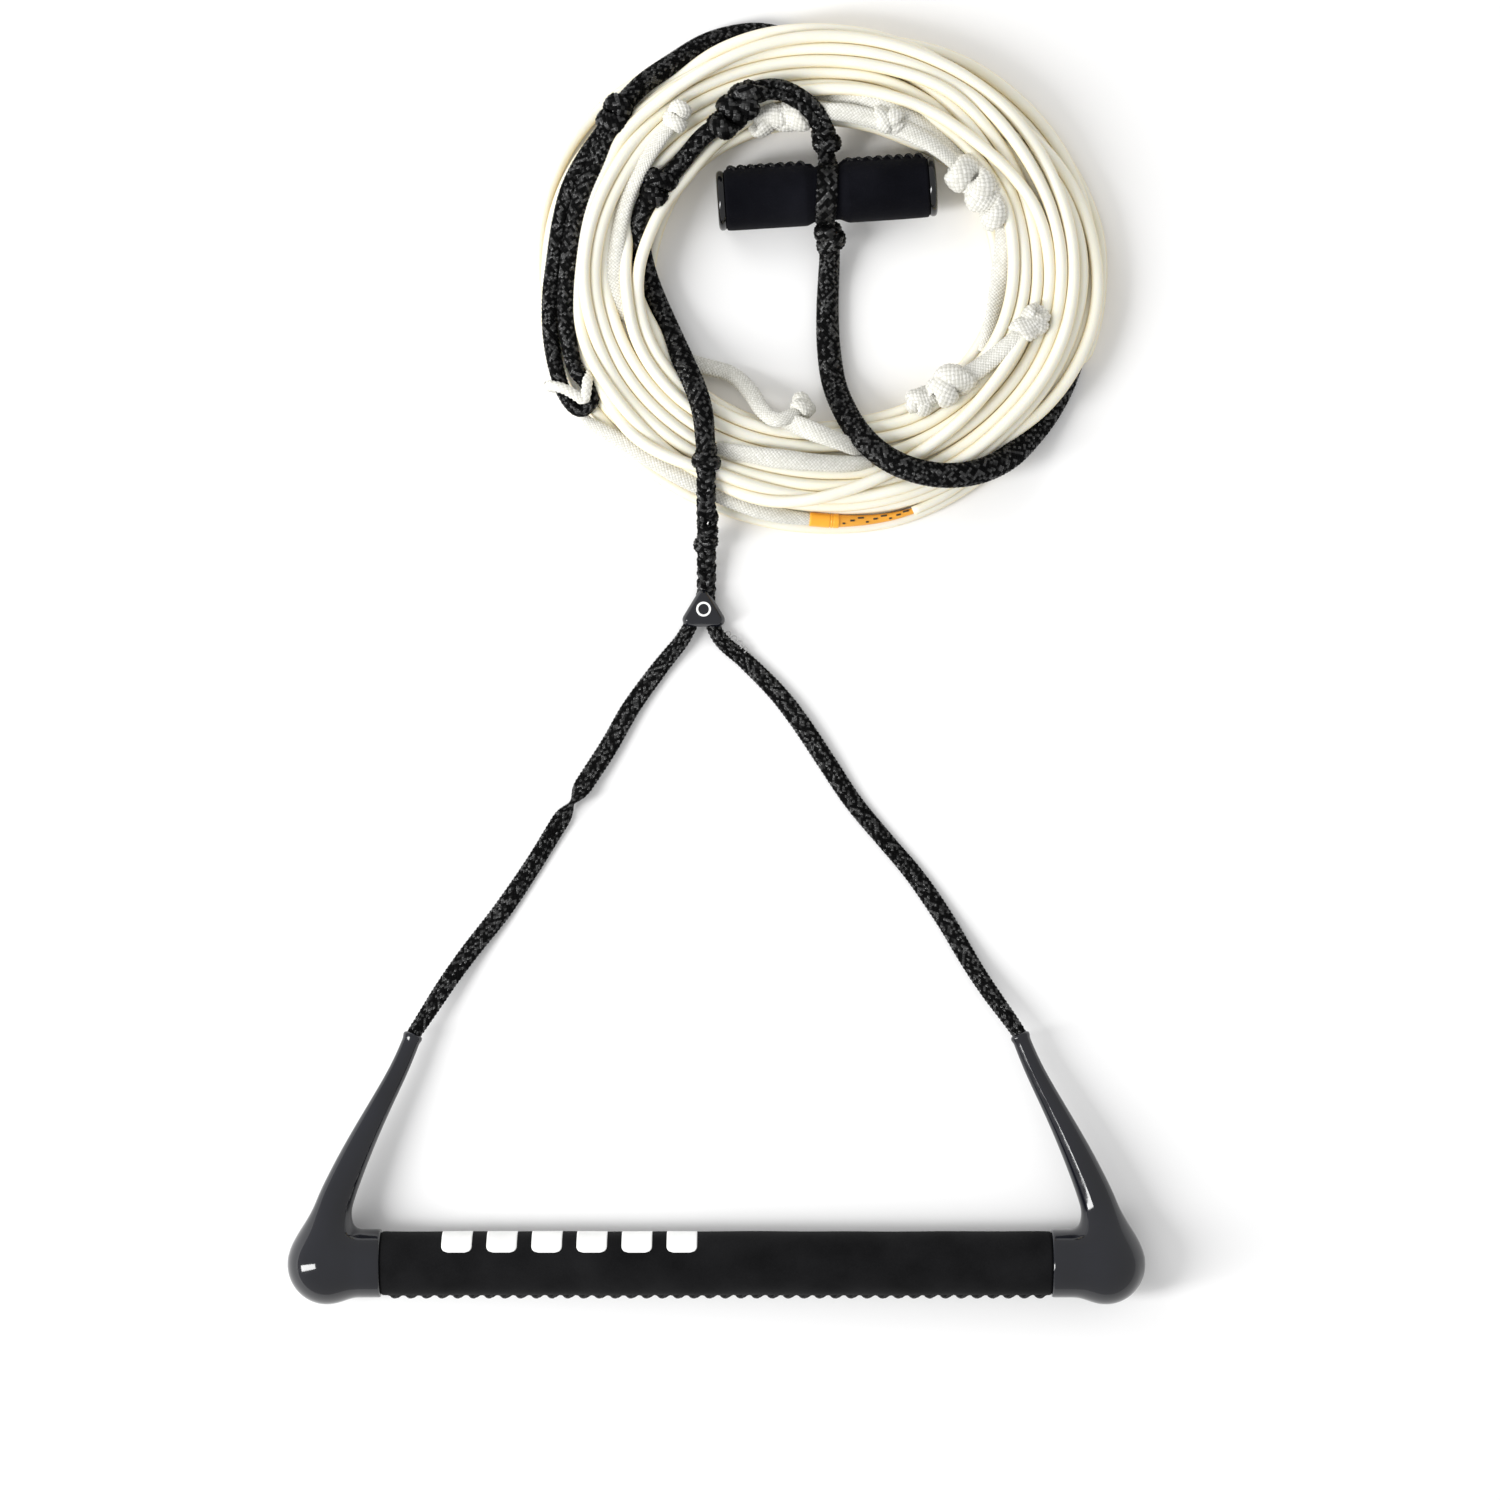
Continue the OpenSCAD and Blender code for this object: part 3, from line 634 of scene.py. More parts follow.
TAIL_ROUTE = [
    (50.7, 215.5, 11), (50.6, 208.5, 7.6), (50.2, 200, 5.2), (49.8, 188, 4.8), (50.2, 172, 4.8),
    (52.5, 155, 6.8), (57.5, 141.5, 14), (64, 130.5, 21.4), (73, 121.5, 25.8), (84, 115.5, 27),
    (96.5, 112.3, 27), (108.5, 112.2, 26), (120, 115, 22), (131.5, 121.5, 14.6), (142, 132.5, 8.2),
    (150.5, 144.5, 5.2), (157, 158, 4.8), (161.5, 174, 4.8), (163, 192, 4.8), (161.5, 210, 4.8),
    (157.5, 227, 4.8), (149.5, 244, 4.8), (138.5, 258.5, 4.8), (124.5, 270.5, 4.8), (107, 281, 4.8),
    (88, 291, 4.8), (67, 299.5, 4.8), (46, 306, 4.8), (30, 309.8, 4.8), (15, 311.5, 5.2), (-3.5, 307, 7),
    (-20, 297, 10), (-32.5, 288, 13.6), (-41.5, 278.5, 16.6)
]
LOOP_ROUTE = [
    (-46.5, 271.5, 18.2), (-50.5, 266, 18.4), (-58.5, 254.5, 17.4), (-65.5, 241, 16), (-69.5, 226, 15),
    (-72, 209.5, 14.6), (-74, 193, 14.6), (-74, 176.5, 14.6), (-71.5, 160.5, 14.8), (-67, 147.5, 14.6),
    (-60.5, 141.5, 14), (-55, 147.5, 15.2), (-58, 154, 17.4), (-63, 160.5, 18.6), (-66.5, 176.5, 18.6),
    (-67, 193, 18.6), (-65.5, 209.5, 18.6), (-63, 226, 19), (-59, 240, 19.6), (-53, 253, 20),
    (-47.5, 265.5, 19.6), (-44.5, 271, 18.8)
]
HITCH_ROUTE = [
    (-56.5, 134, 12), (-62, 144, 10.2), (-70, 151, 10.4), (-75, 152.6, 13.6), (-73.5, 152.4, 18.4),
    (-68, 151, 20.4), (-62, 147.6, 20.6), (-59, 145.6, 20), (-58, 149, 21.4), (-57.4, 154, 20.6),
    (-57.2, 158.4, 17.4)
]
LEAD_ROUTE = [
    (-58.5, 137, 12.4), (-46, 130, 15), (-29, 120, 16), (-16, 112.5, 15.4), (-4.5, 107, 14.4),
    (6, 102.5, 13.6), (18, 98, 12.6), (29, 95, 11.6), (42.5, 93.3, 10.1)
]
MARKER_ROUTE = [(41.5, 93.4, 10.2), (53.5, 92.6, 9), (66, 93, 8), (78, 94.6, 7.4), (88, 97.2, 7)]
SPLICE_ROUTES = {
    "splice_left": [
        (-17.5, 271.5, 23.6), (-24, 263, 22.8), (-32, 251.5, 21), (-40, 236, 19), (-44, 220, 18),
        (-45.5, 203, 17.6), (-42, 189.5, 17), (-34, 178.5, 13), (-24, 170, 7.5), (-13, 164.5, 3.4),
        (-2, 161.5, 3), (7, 158.5, 5), (15, 150.5, 11.5), (20.5, 141.5, 19), (26.5, 136.5, 23.6),
        (33.5, 139, 22.4), (38, 143, 17.6)
    ],
    "splice_bottom": [
        (21, 139, 13), (30.5, 137, 19.4), (37.5, 134, 22), (45, 131, 23.6), (52.5, 128, 23.6),
        (60, 125.5, 21), (68.5, 122.5, 14.5)
    ],
    "splice_lower_right": [
        (85.5, 142, 17), (94, 147, 20), (104.5, 153, 21.6), (113.5, 157.5, 21.6), (123, 164.5, 21.4),
        (134, 173.5, 22.6), (145.5, 182, 22.6)
    ],
    "splice_right": [
        (119.5, 168, 14), (123, 180.5, 12.6), (126, 194, 12), (127.5, 207.5, 12.4), (128.5, 218.5, 14.6),
        (127, 228, 18), (120, 237, 21.6)
    ],
    "splice_top": [
        (120, 237, 21.6), (110, 247.5, 24.4), (99.5, 256.5, 26.4), (89, 263, 26), (78, 268, 24.8),
        (66.5, 271.5, 24), (54.5, 273.8, 23.4), (38, 273.5, 20.6), (24.5, 272, 19.4)
    ],
    "splice_top_inner": [
        (112, 251, 19), (100, 262, 21.4), (88, 270.5, 23.4), (76, 275.5, 24.2), (64, 279, 22),
        (52, 281.5, 17.5), (43, 282.5, 13)
    ],
    "splice_on_coil": [
        (0, 124.5, 19.4), (12, 122, 22.4), (24, 120, 23.4), (37, 118.5, 23.4), (50, 117.6, 22),
        (60, 117.4, 20.6), (69, 118.4, 18.4)
    ]
}


# ---- The coil of line ----

COIL_CENTRE = np.array([47.5, 203.0])
COIL_A, COIL_B = 101.5, 90.0
LINE_D = 5.5
TURNS = 29
STATIONS = 96
# How the turns lie before they settle: side by side, and in layers
COLUMNS, COLUMN_STEP = 8, 5.2
LAYERS, LAYER_STEP = 4, 4.9
SETTLE_ROUNDS = 260
# Where the first turn starts, in the end of the marker's tape: fraction of a turn, distance out and height
LINE_START, LINE_START_OUT, LINE_START_HIGH = 0.827, 9.6, 6.6
# Where the last turn ends, inside a white knot
LINE_END, LINE_END_OUT, LINE_END_HIGH = 0.957, -5.2, 20.5
LINE_END_KNOT = np.array([139.6, 179.6, 22.0])
# Where a few low outer turns stray outwards: fraction of a turn, width of the stray stretch, distance out
STRAYS = [(0.397, 0.062, 17), (0.825, 0.055, 8.5), (0.52, 0.05, 3)]


def stray(turn):
    """How far out a low outer turn strays at a fraction of a turn."""
    return sum(far * np.exp(-((turn - at) / width)**2) for at, width, far in STRAYS)


def on_coil(turn, out, height):
    """A point at a fraction of a turn round the coil, so far out from its middle line, at a height."""
    g = math.tau * turn
    normal = unit(np.stack([COIL_B * np.cos(g), COIL_A * np.sin(g)], axis=-1))
    flat = COIL_CENTRE + np.stack([COIL_A * np.cos(g), COIL_B * np.sin(g)], axis=-1) + normal * out[..., None]
    return np.concatenate([flat, height[..., None]], axis=-1)


def ropes_at_stations(ropes):
    """Where each (points, radius) rope crosses each station's upright plane: station, out, height, radius."""
    found = []
    for station in range(STATIONS):
        g = math.tau * station / STATIONS
        normal = unit([COIL_B * math.cos(g), COIL_A * math.sin(g)])
        foot = COIL_CENTRE + [COIL_A * math.cos(g), COIL_B * math.sin(g)]
        for points, radius in ropes:
            off = points[:, :2] - foot
            out = off @ normal
            ahead = off @ np.array([-normal[1], normal[0]])
            near = (np.abs(ahead) < radius) & (np.abs(out) < 55)
            for i in np.nonzero(near)[0]:
                found.append((station, out[i], points[i, 2], math.sqrt(radius**2 - ahead[i]**2)))
    return np.array(found)


def turns_before_settling():
    """How far out and how high each turn of the chain runs at each station, one row for each turn."""
    rng = np.random.default_rng(11)
    slots = [(column, layer) for layer in range(LAYERS) for column in range(COLUMNS - layer % 2)][:TURNS]
    order = sorted(range(TURNS), key=lambda s: slots[s][1] + rng.uniform(0, 1.6))
    outs = [(slots[s][0] - (COLUMNS - 1) / 2 + 0.5 * (slots[s][1] % 2)) * COLUMN_STEP for s in order]
    highs = [LINE_D / 2 + slots[s][1] * LAYER_STEP for s in order]
    turn = np.arange(STATIONS) / STATIONS
    out = np.zeros((TURNS, STATIONS))
    high = np.zeros((TURNS, STATIONS))
    for k in range(TURNS):
        after = min(k + 1, TURNS - 1)
        pass_over = ease((turn - rng.uniform(0, 0.07)) / 0.26)
        sway = sum(rng.uniform(0.6, 2.6) / n * np.sin(math.tau * (n * turn + rng.uniform()))
                   for n in (1, 2, 3))
        fade = np.minimum(1, np.minimum(turn, 1 - turn) * 8)
        out[k] = outs[k] + (outs[after] - outs[k]) * pass_over + sway * fade
        high[k] = highs[k] + (highs[after] - highs[k]) * pass_over
        low_outer = np.clip((out[k] - 7) / 6, 0, 1) * np.clip((9 - high[k]) / 4, 0, 1)
        out[k] += stray(turn) * low_outer
    lead_in = ease((turn - LINE_START) / 0.13)
    out[0] = LINE_START_OUT + (out[0] - LINE_START_OUT) * lead_in
    high[0] = LINE_START_HIGH + (high[0] - LINE_START_HIGH) * lead_in
    tuck = ease((turn - 0.7) / (LINE_END - 0.7))
    out[-1] += (LINE_END_OUT - out[-1]) * tuck
    high[-1] += (LINE_END_HIGH - high[-1]) * tuck
    return out, high


def wind_line(ropes):
    """The line's centreline: one chain of turns that settle beside and on each other, round the ropes."""
    out, high = turns_before_settling()
    chain = np.stack([out.ravel(), high.ravel()], axis=1)
    goal = chain.copy()
    blocks = ropes_at_stations(ropes)
    at = blocks[:, 0].astype(int)
    upper, lower = np.triu_indices(TURNS, 1)
    for step in range(SETTLE_ROUNDS):
        chain = smoothed(chain, 1, 0.2)
        if step < SETTLE_ROUNDS * 0.75:
            chain += 0.03 * (goal - chain)
            chain[:, 1] -= 0.05
        grid = chain.reshape(TURNS, STATIONS, 2)
        gap = grid[upper] - grid[lower]
        apart = np.maximum(np.linalg.norm(gap, axis=2), 1e-6)
        push = np.clip(LINE_D - apart, 0, 2.0) * 0.42
        move = gap / apart[..., None] * push[..., None]
        np.add.at(grid, upper, move)
        np.add.at(grid, lower, -move)
        away = grid[:, at, :] - blocks[None, :, 1:3]
        far = np.maximum(np.linalg.norm(away, axis=2), 1e-6)
        short = np.clip(blocks[None, :, 3] + LINE_D / 2 - far, 0, 1.5) * 0.5
        for k in range(TURNS):
            np.add.at(grid[k], at, away[k] / far[k][:, None] * short[k][:, None])
        grid[..., 1] = np.maximum(grid[..., 1], LINE_D / 2)
        chain = grid.reshape(-1, 2)
    turns = np.arange(TURNS * STATIONS) / STATIONS
    return on_coil(turns % 1.0, chain[:, 0], chain[:, 1])


# ---- Ropes ----

def metres(point):
    return tuple(float(v) * MM for v in point)


def declare(path,
            with_pieces=()):
    """Works out a cord's route in metres along path and its real length, and keeps neither."""
    route = [metres(point) for point in path]
    round(path_length(path) * MM, 4)


def knot(name, material, at, direction, core_r, strand_w, strand_t, length, turns, phase, flat):
    """A flat strand wound forward, back and forward again round a rope, so its turns cross as in a tied knot.

    core_r is the rope's radius, and flat squeezes the knot in height."""
    axis = unit(direction)
    first = unit(np.cross(axis, Z))
    second = np.cross(axis, first)
    t = np.linspace(0, 1, 160)
    angle = phase + math.tau * turns * t
    shift = 0.5 * length * np.sin(3 * math.pi * (t - 0.5)) + 0.16 * length * np.sin(angle + 0.7)
    tuck = ease(t / 0.08) * ease((1 - t) / 0.08)
    layer = 0.9 + 0.6 * np.sin(3 * math.pi * turns * t + phase)
    reach = (core_r + strand_t * layer) * (0.3 + 0.7 * tuck)
    outward = np.cos(angle)[:, None] * first + flat * np.sin(angle)[:, None] * second
    points = np.asarray(at, float) + shift[:, None] * axis + reach[:, None] * outward
    wide = strand_w * (0.55 + 0.45 * tuck[::16])
    piece, _ = braid(name, points, wide, strand_t, material, pitch=16, relief=0.42, up=outward)
    return piece


PLAIT_STRAND_W, PLAIT_STRAND_T = 2.3, 1.8
PLAIT_SPREAD, PLAIT_WAVE = 2.1, 15


def make_plait(node, route):
    """Three flat strands plaited along a route."""
    middle = smooth_route(route, 0.5)
    side, above = axes_along(middle)
    s = arc_length(middle)
    for k in range(3):
        g = math.tau * (s / PLAIT_WAVE + k / 3)
        points = middle + (PLAIT_SPREAD * np.sin(g))[:, None] * side \
            + (PLAIT_SPREAD * 0.42 * np.sin(2 * g))[:, None] * above
        piece, path = braid(f"{node}_{k + 1}", points, PLAIT_STRAND_W, PLAIT_STRAND_T, BLACK_BRAID, yarns=6,
                            pitch=11)
        if k == 0:
            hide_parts(node)
        declare(path)


# Yarn loops pulled out of the right leg below the yoke: x, y, the way they point, and their size
STRAY_LOOPS = [(5.0, 42.0, 0.7, 1.1), (7.4, 39.9, 0.8, 1.3), (9.9, 37.6, 0.9, 1.3), (12.1, 35.0, 0.7, 1.2)]


def leg_twist(middle, width, turns):
    """A flat leg turns over where it is twisted, and wobbles a little elsewhere."""
    def twist(t):
        wobble = 0.3 * np.sin(9 * t) * np.sin(math.pi * t)
        return math.pi * turns * ease((t - middle + width / 2) / width) + wobble
    return twist


def joint_at(name):
    return np.array(next(j for j in frame["joints"] if j["name"] == name)["pos_m"])


# How much of a leg, from the yoke on, is its first piece
LEG_SPLIT = 0.62


def make_leg(side_name, route, twist, half_t):
    """A flat hollow braid from the yoke into the cap's mouth, in two pieces."""
    points = smooth_route(route, 1)
    common = dict(half_w=[3.1, 3.8, 4.2, 4.2, 4.1, 4.0, 4.2, 4.1, 3.8, 3.0], half_t=half_t,
                  material=BLACK_BRAID, body=None, yarns=12, pitch=23, relief=0.32, twist=twist)
    upper, upper_path = braid(side_name + "_leg_upper", points, part=(0, LEG_SPLIT), **common)
    lower, lower_path = braid(side_name + "_leg_lower", points, part=(LEG_SPLIT, 1), **common)
    yoke, cap = joint_at("bridle_fold"), joint_at("handle_tilt")
    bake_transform(upper)
    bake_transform(lower)
    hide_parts(side_name + "_bridle_leg")
    declare(upper_path)
    declare(lower_path)
    return upper


def make_bridle():
    flat, edge_on = 1.6, 0.9
    left = make_leg("left", LEFT_LEG_ROUTE, leg_twist(0.42, 0.11, 1),
                    [1.9, flat, flat, flat, edge_on, flat, flat, flat, flat, 2.2])
    make_leg("right", RIGHT_LEG_ROUTE, leg_twist(0.5, 1.0, 0), [1.9, flat, flat, flat, flat, 2.2])
    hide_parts("bridle_roots")
    loops = []
    for x, y, turn, size in STRAY_LOOPS:
        g = np.linspace(-0.4, math.pi + 0.4, 14)
        out = np.array([math.cos(turn), math.sin(turn), 0])
        over = np.cross(Z, out)
        arc = np.array([x, y, 3.6]) + size * (np.cos(g)[:, None] * over + 1.3 * np.sin(g)[:, None] * out)
        arc[:, 2] -= 0.8 * np.sin(g)
        loops.append(tube_mesh(arc, 0.3, 7)[:2])
    piece = add_piece("stray_yarn_loops", *joined(loops), PALE_YARN, "bridle")
    piece.data.uv_layers.new(name="weave")


# Black knots: where, along what, core radius, strand width and thickness, length, turns, phase and squeeze
BLACK_KNOTS = {
    "plait_knot": ((-4.5, 87.5, 11.5), (0, 15, 8), 1.6, 2.9, 1.7, 13, 3.5, 0.4, 1.0),
    "plait_end_knot": ((-4.5, 119.5, 26.8), (0, 9, 1), 2.0, 3.0, 1.9, 6, 2.5, 1.9, 1.0),
    "riser_knot": ((-26, 241.5, 19), (11, 12.5, 2), 3.0, 3.9, 2.1, 9, 2.5, 0.9, 0.85),
    "crown_knot_0": ((5.5, 271, 26.6), (8.5, 8.5, 0.8), 2.8, 4.2, 2.4, 10, 2.5, 0.0, 0.85),
    "crown_knot_1": ((14, 279.5, 27.4), (8.5, 8.5, 0.8), 2.8, 4.2, 2.4, 10, 2.5, 2.0, 0.85),
    "grip_top_knot": (GRIP_TOP_AT, (0.5, -8.5, -3), 1.8, 3.4, 2.1, 7, 2.5, 0.3, 0.85),
    "grip_bottom_knot": (GRIP_BOTTOM_AT, (0, -8, -3), 2.4, 3.6, 2.0, 7, 2.5, 1.2, 0.85),
    "tail_knot": ((-45, 272.5, 18.2), (-6, -8.5, 0), 2.8, 4.2, 2.3, 9, 2.5, 0.6, 0.85)
}


def black_knot(name):
    return knot(name, BLACK_BRAID, *BLACK_KNOTS[name])


def make_handle_section():
    for node, route in PLAIT_ROUTES.items():
        make_plait(node, route)
    black_knot("plait_knot")
    end_knot = black_knot("plait_end_knot")
    riser, path = braid("riser_rope", smooth_route(RISER_ROUTE, 1),
                        [4.2, 4.7, 4.9, 4.8, 4.6, 4.6, 4.4, 3.9, 3.9], [3.8, 4.2, 4.2, 4.1, 4.0, 3.8, 3.6],
                        BLACK_BRAID, yarns=14, pitch=26, relief=0.34)
    riser_knot = black_knot("riser_knot")
    crown = [black_knot("crown_knot_0"), black_knot("crown_knot_1")]
    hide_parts("crown_knot")
    declare(path, with_pieces=[riser_knot, end_knot, *crown])

    middle = smooth_route(ARCH_ROUTE, 1)
    side, _ = axes_along(middle)
    black_knot("grip_top_knot")
    for name, way in (("left_arch_strand", 1), ("right_arch_strand", -1)):
        strand, path = braid(name, middle + way * 2.1 * side, 2.6, 2.4, BLACK_BRAID, pitch=14)
        declare(path)

    bottom_knot = black_knot("grip_bottom_knot")
    tail, path = braid("tail_rope", smooth_route(TAIL_ROUTE, 1),
                       [4.4, 5.3, 5.4, 5.5, 5.4, 5.2, 5, 5, 4.8, 4.8, 4.4],
                       [3.9, 3.8, 3.8, 3.8, 3.7, 3.8, 3.9], BLACK_BRAID, yarns=16, pitch=28, relief=0.34)
    declare(path, with_pieces=[bottom_knot, black_knot("tail_knot")])
    loop, path = braid("tail_loop", smooth_route(LOOP_ROUTE, 1, 3),
                       [3.4, 3.9, 3.9, 3.9, 3.6, 3.0, 3.6, 3.9, 3.9, 3.9, 3.4], 2.4, BLACK_BRAID, yarns=11,
                       pitch=20, relief=0.32)
    declare(path)


# The ring that the straps follow round the cross grip's waist
CROSS_AT = np.array([49.2, 238.5, 15.0])
STRAP_RING_R = 13.2


def strap_arc(way):
    """The strap round the cross grip's waist: over it where way is 1, or under it where it is -1."""
    g = np.radians(np.linspace(14, 166, 14))
    arc = CROSS_AT + np.outer(np.cos(g), [0.7, STRAP_RING_R, 0])
    arc += np.outer(way * STRAP_RING_R * np.sin(g), Z)
    start = np.array(GRIP_TOP_AT) - [0.3, 2.5, 0.2]
    end = np.array(GRIP_BOTTOM_AT) + [0, 1.5, 0.4]
    return [start, *arc, end]


def make_grip_straps():
    for name, way in (("upper_grip_strap", 1), ("lower_grip_strap", -1)):
        points = smooth_route(strap_arc(way), 1, 3)
        outward = unit((points - CROSS_AT) * [0, 1, 1])
        strap, path = braid(name, points, [3.6, 4.6, 4.8, 4.6, 3.6], 1.3, BLACK_BRAID, yarns=9, pitch=22,
                            relief=0.34, up=outward)
        declare(path)


# White knots: on which splice, where, along what, core radius, strand width and thickness, length, squeeze
WHITE_KNOTS = [
    ("splice_left", (-17.5, 271.5, 24), (-6.5, -8.5, -1), 1.6, 3.2, 1.9, 7, 0.9),
    ("splice_lower_right", (104.5, 153, 22), (9, 5, 0), 2.6, 4.8, 2.6, 11, 0.75),
    ("splice_lower_right", (92, 146, 19.6), (9, 5, 1), 1.8, 3.4, 2.1, 8, 0.8),
    ("splice_lower_right", (140, 180, 22.6), (9, 8, 0), 2.0, 4.0, 2.1, 9, 0.75),
    ("splice_right", (121, 233, 22), (-5, 10, 3), 2.6, 4.6, 2.6, 10, 0.75),
    ("splice_top", (112.5, 244.5, 24), (-10, 10, 3), 2.8, 5.2, 2.7, 12, 0.75),
    ("splice_top", (76, 270, 26.6), (-11, 5, -1), 1.8, 3.4, 1.9, 7, 0.8),
    ("splice_top", (33, 272.6, 20.4), (-13, 0, -1), 2.4, 4.4, 2.3, 11, 0.75),
    ("splice_top", (22.5, 271, 19.4), (-13, -4, -1), 2.0, 4.0, 2.1, 9, 0.75),
    ("splice_left", (38.5, 143.5, 18), (4, 4, -5), 1.6, 3.0, 1.9, 5, 0.7)
]


def make_white_line_parts():
    hitch, path = braid("loop_hitch", smooth_route(HITCH_ROUTE, 0.7, 3), 2.3, 1.7, WHITE_BRAID, yarns=5,
                        pitch=11, relief=0.3)
    declare(path)
    lead, path = braid("lead_braid", smooth_route(LEAD_ROUTE, 1), [2.6, 3.6, 4.2, 4.2, 4.0, 2.6],
                       [2.2, 2.6, 2.3], WHITE_BRAID, yarns=11, pitch=19, relief=0.42)
    declare(path)
    knots = [(on, knot(f"white_knot_{k}", WHITE_BRAID, *shape, 2.5, 1.3 * k, flat))
             for k, (on, *shape, flat) in enumerate(WHITE_KNOTS)]
    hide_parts("splice_knots")
    for name, route in SPLICE_ROUTES.items():
        piece, path = braid(name, smooth_route(route, 1), [2.6, 3.8, 4.3, 4.3, 4.2, 3.8, 2.6],
                            [1.9, 2.3, 2.4, 2.3, 1.9], WHITE_BRAID, yarns=11, pitch=18, relief=0.42,
                            twist=lambda t: 0.55 * np.sin(7 * t))
        declare(path, with_pieces=[tied for on, tied in knots if on == name])


# The marker: its sleeve's length, radius and rounded rim, and its crimped rings' places, depths and widths
SLEEVE_LENGTH, SLEEVE_R, SLEEVE_RIM = 13.5, 3.2, 0.8
CRIMPS = [(9.4, 0.45, 0.22), (10.6, 0.3, 0.2)]
# The tape from the sleeve: half width and half thickness at its start, and how much each shrinks to its end
TAPE_W, TAPE_T = (2.8, 1.45), (2.5, 1.15)
DASHES = 9


def make_marker():
    """The orange sleeve at the line's length mark, and the printed tape that tapers from it."""
    points = smooth_route(MARKER_ROUTE, 0.25)
    at = arc_length(points)
    s = at[at <= SLEEVE_LENGTH]
    from_end = np.minimum(1, np.minimum(s, SLEEVE_LENGTH - s) / SLEEVE_RIM)
    radius = SLEEVE_R - 0.6 * (1 - np.sqrt(np.clip(1 - (1 - from_end)**2, 0, 1)))
    for centre, depth, width in CRIMPS:
        radius -= depth * np.exp(-((s - centre) / width)**2)
    sleeve = tube("marker_sleeve", points[at <= SLEEVE_LENGTH], radius, ORANGE, 40)
    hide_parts("length_marker")
    tape_points = points[at >= SLEEVE_LENGTH - 1]
    t = np.linspace(0, 1, len(tape_points))
    wide, thick = TAPE_W[0] - TAPE_W[1] * t, TAPE_T[0] - TAPE_T[1] * t
    tape = tube("marker_tape", tape_points, wide, TAPE, 28, thick)
    side, above = axes_along(tape_points)
    dashes = []
    for k in range(DASHES):
        a = int((0.07 + 0.1 * k) * len(tape_points))
        b = a + int((0.05 + 0.02 * (k % 3)) * len(tape_points))
        turn = 0.45 * (k % 3 - 1)
        bar = tape_points + above * (thick + 0.1)[:, None] * math.cos(turn) \
            + side * wide[:, None] * math.sin(turn)
        dashes.append(tube_mesh(bar[a:b], 0.42, 8, thick=0.25, lying=True)[:2])
    ink = add_piece("marker_dashes", *joined(dashes), INK, "rope")
    declare(tape_points, with_pieces=[sleeve, ink])


# Radius of the room that the coil leaves each rope
ROOM_FOR_ROPES = [
    (TAIL_ROUTE, 4.3), (RISER_ROUTE, 4.3), (LOOP_ROUTE, 2.7), (LEAD_ROUTE, 3.0),
    (PLAIT_ROUTES["upper_plait"], 3.4), (MARKER_ROUTE[:4], 3.0),
    *((route, 2.5) for route in SPLICE_ROUTES.values())
]
# The open space over the marker: how high its middle is above the marker's own, and its radius
MARKER_VIEW_HIGH, MARKER_VIEW_R = 5.5, 3.6
# How many stations the line's ends take to bend to their places, and over what length its start thickens
END_STATIONS = 22
START_TAPER = 25


def make_line():
    ropes = [(smooth_route(route, 2), radius) for route, radius in ROOM_FOR_ROPES]
    ropes.append((smooth_route(MARKER_ROUTE[:3], 2) + MARKER_VIEW_HIGH * Z, MARKER_VIEW_R))
    centreline = wind_line(ropes)
    centreline = centreline[int(LINE_START * STATIONS):int((TURNS - 1 + LINE_END) * STATIONS)]
    near = ease(np.linspace(1, 0, END_STATIONS))[:, None]
    centreline[:END_STATIONS] += near * (np.array(MARKER_ROUTE[-1]) - centreline[0])
    centreline[-END_STATIONS:] += near[::-1] * (LINE_END_KNOT - centreline[-1])
    fine = smoothed(resample(centreline, 3.2), 2)
    taper = 0.72 + 0.28 * ease(arc_length(fine) / START_TAPER)
    line = tube("main_line", fine, LINE_D / 2 * taper, LINE, 12)
    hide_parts("main_line_coil")
    declare(fine)


# ---- Handle bar, caps and cross grip ----

def limb_distance(p, route, radii):
    """Distance from points to the skin of a limb that tapers along a route."""
    best = np.full(len(p), 1e9)
    for a, b, ra, rb in zip(route[:-1], route[1:], radii[:-1], radii[1:]):
        span = b - a
        t = np.clip((p - a) @ span / (span @ span), 0, 1)
        best = np.minimum(best, np.linalg.norm(p - a - t[:, None] * span, axis=1) - ra - (rb - ra) * t)
    return best


def drum_distance(p, start, end, centre, radius, edge):
    """Distance to a drum along X with rounded edges."""
    q = np.column_stack([np.abs(p[:, 0] - (start + end) / 2) - (end - start) / 2 + edge,
                         np.hypot(p[:, 1] - centre[0], p[:, 2] - centre[1]) - radius + edge])
    return np.minimum(q.max(axis=1), 0) + np.linalg.norm(np.maximum(q, 0), axis=1) - edge


def melt(a, b, width):
    """The smaller of two distances, with a fillet of about that width between the surfaces."""
    h = np.maximum(width - np.abs(a - b), 0) / width
    return np.minimum(a, b) - h * h * width / 4


def cap_distance(p, route, radii):
    """Distance to a cap: a ball that melts into an arm along route and a collar, with a lip at the mouth."""
    ball = np.linalg.norm(p - BALL_AT, axis=1) - BALL_R
    body = melt(ball, limb_distance(p, route, radii), 13)
    d = melt(body, drum_distance(p, CAP_START, BALL_AT[0], BAR[1:], COLLAR_R, 0.7), 3)
    way = unit(route[-1] - route[-2])
    ahead = (p - route[-1]) @ way
    off = np.linalg.norm(p - route[-1] - ahead[:, None] * way, axis=1)
    lip = np.hypot(ahead + LIP_BACK, off - radii[-1] + LIP_IN) - LIP_R
    return melt(np.maximum(d, ahead + LIP_BACK), lip, 1.6)


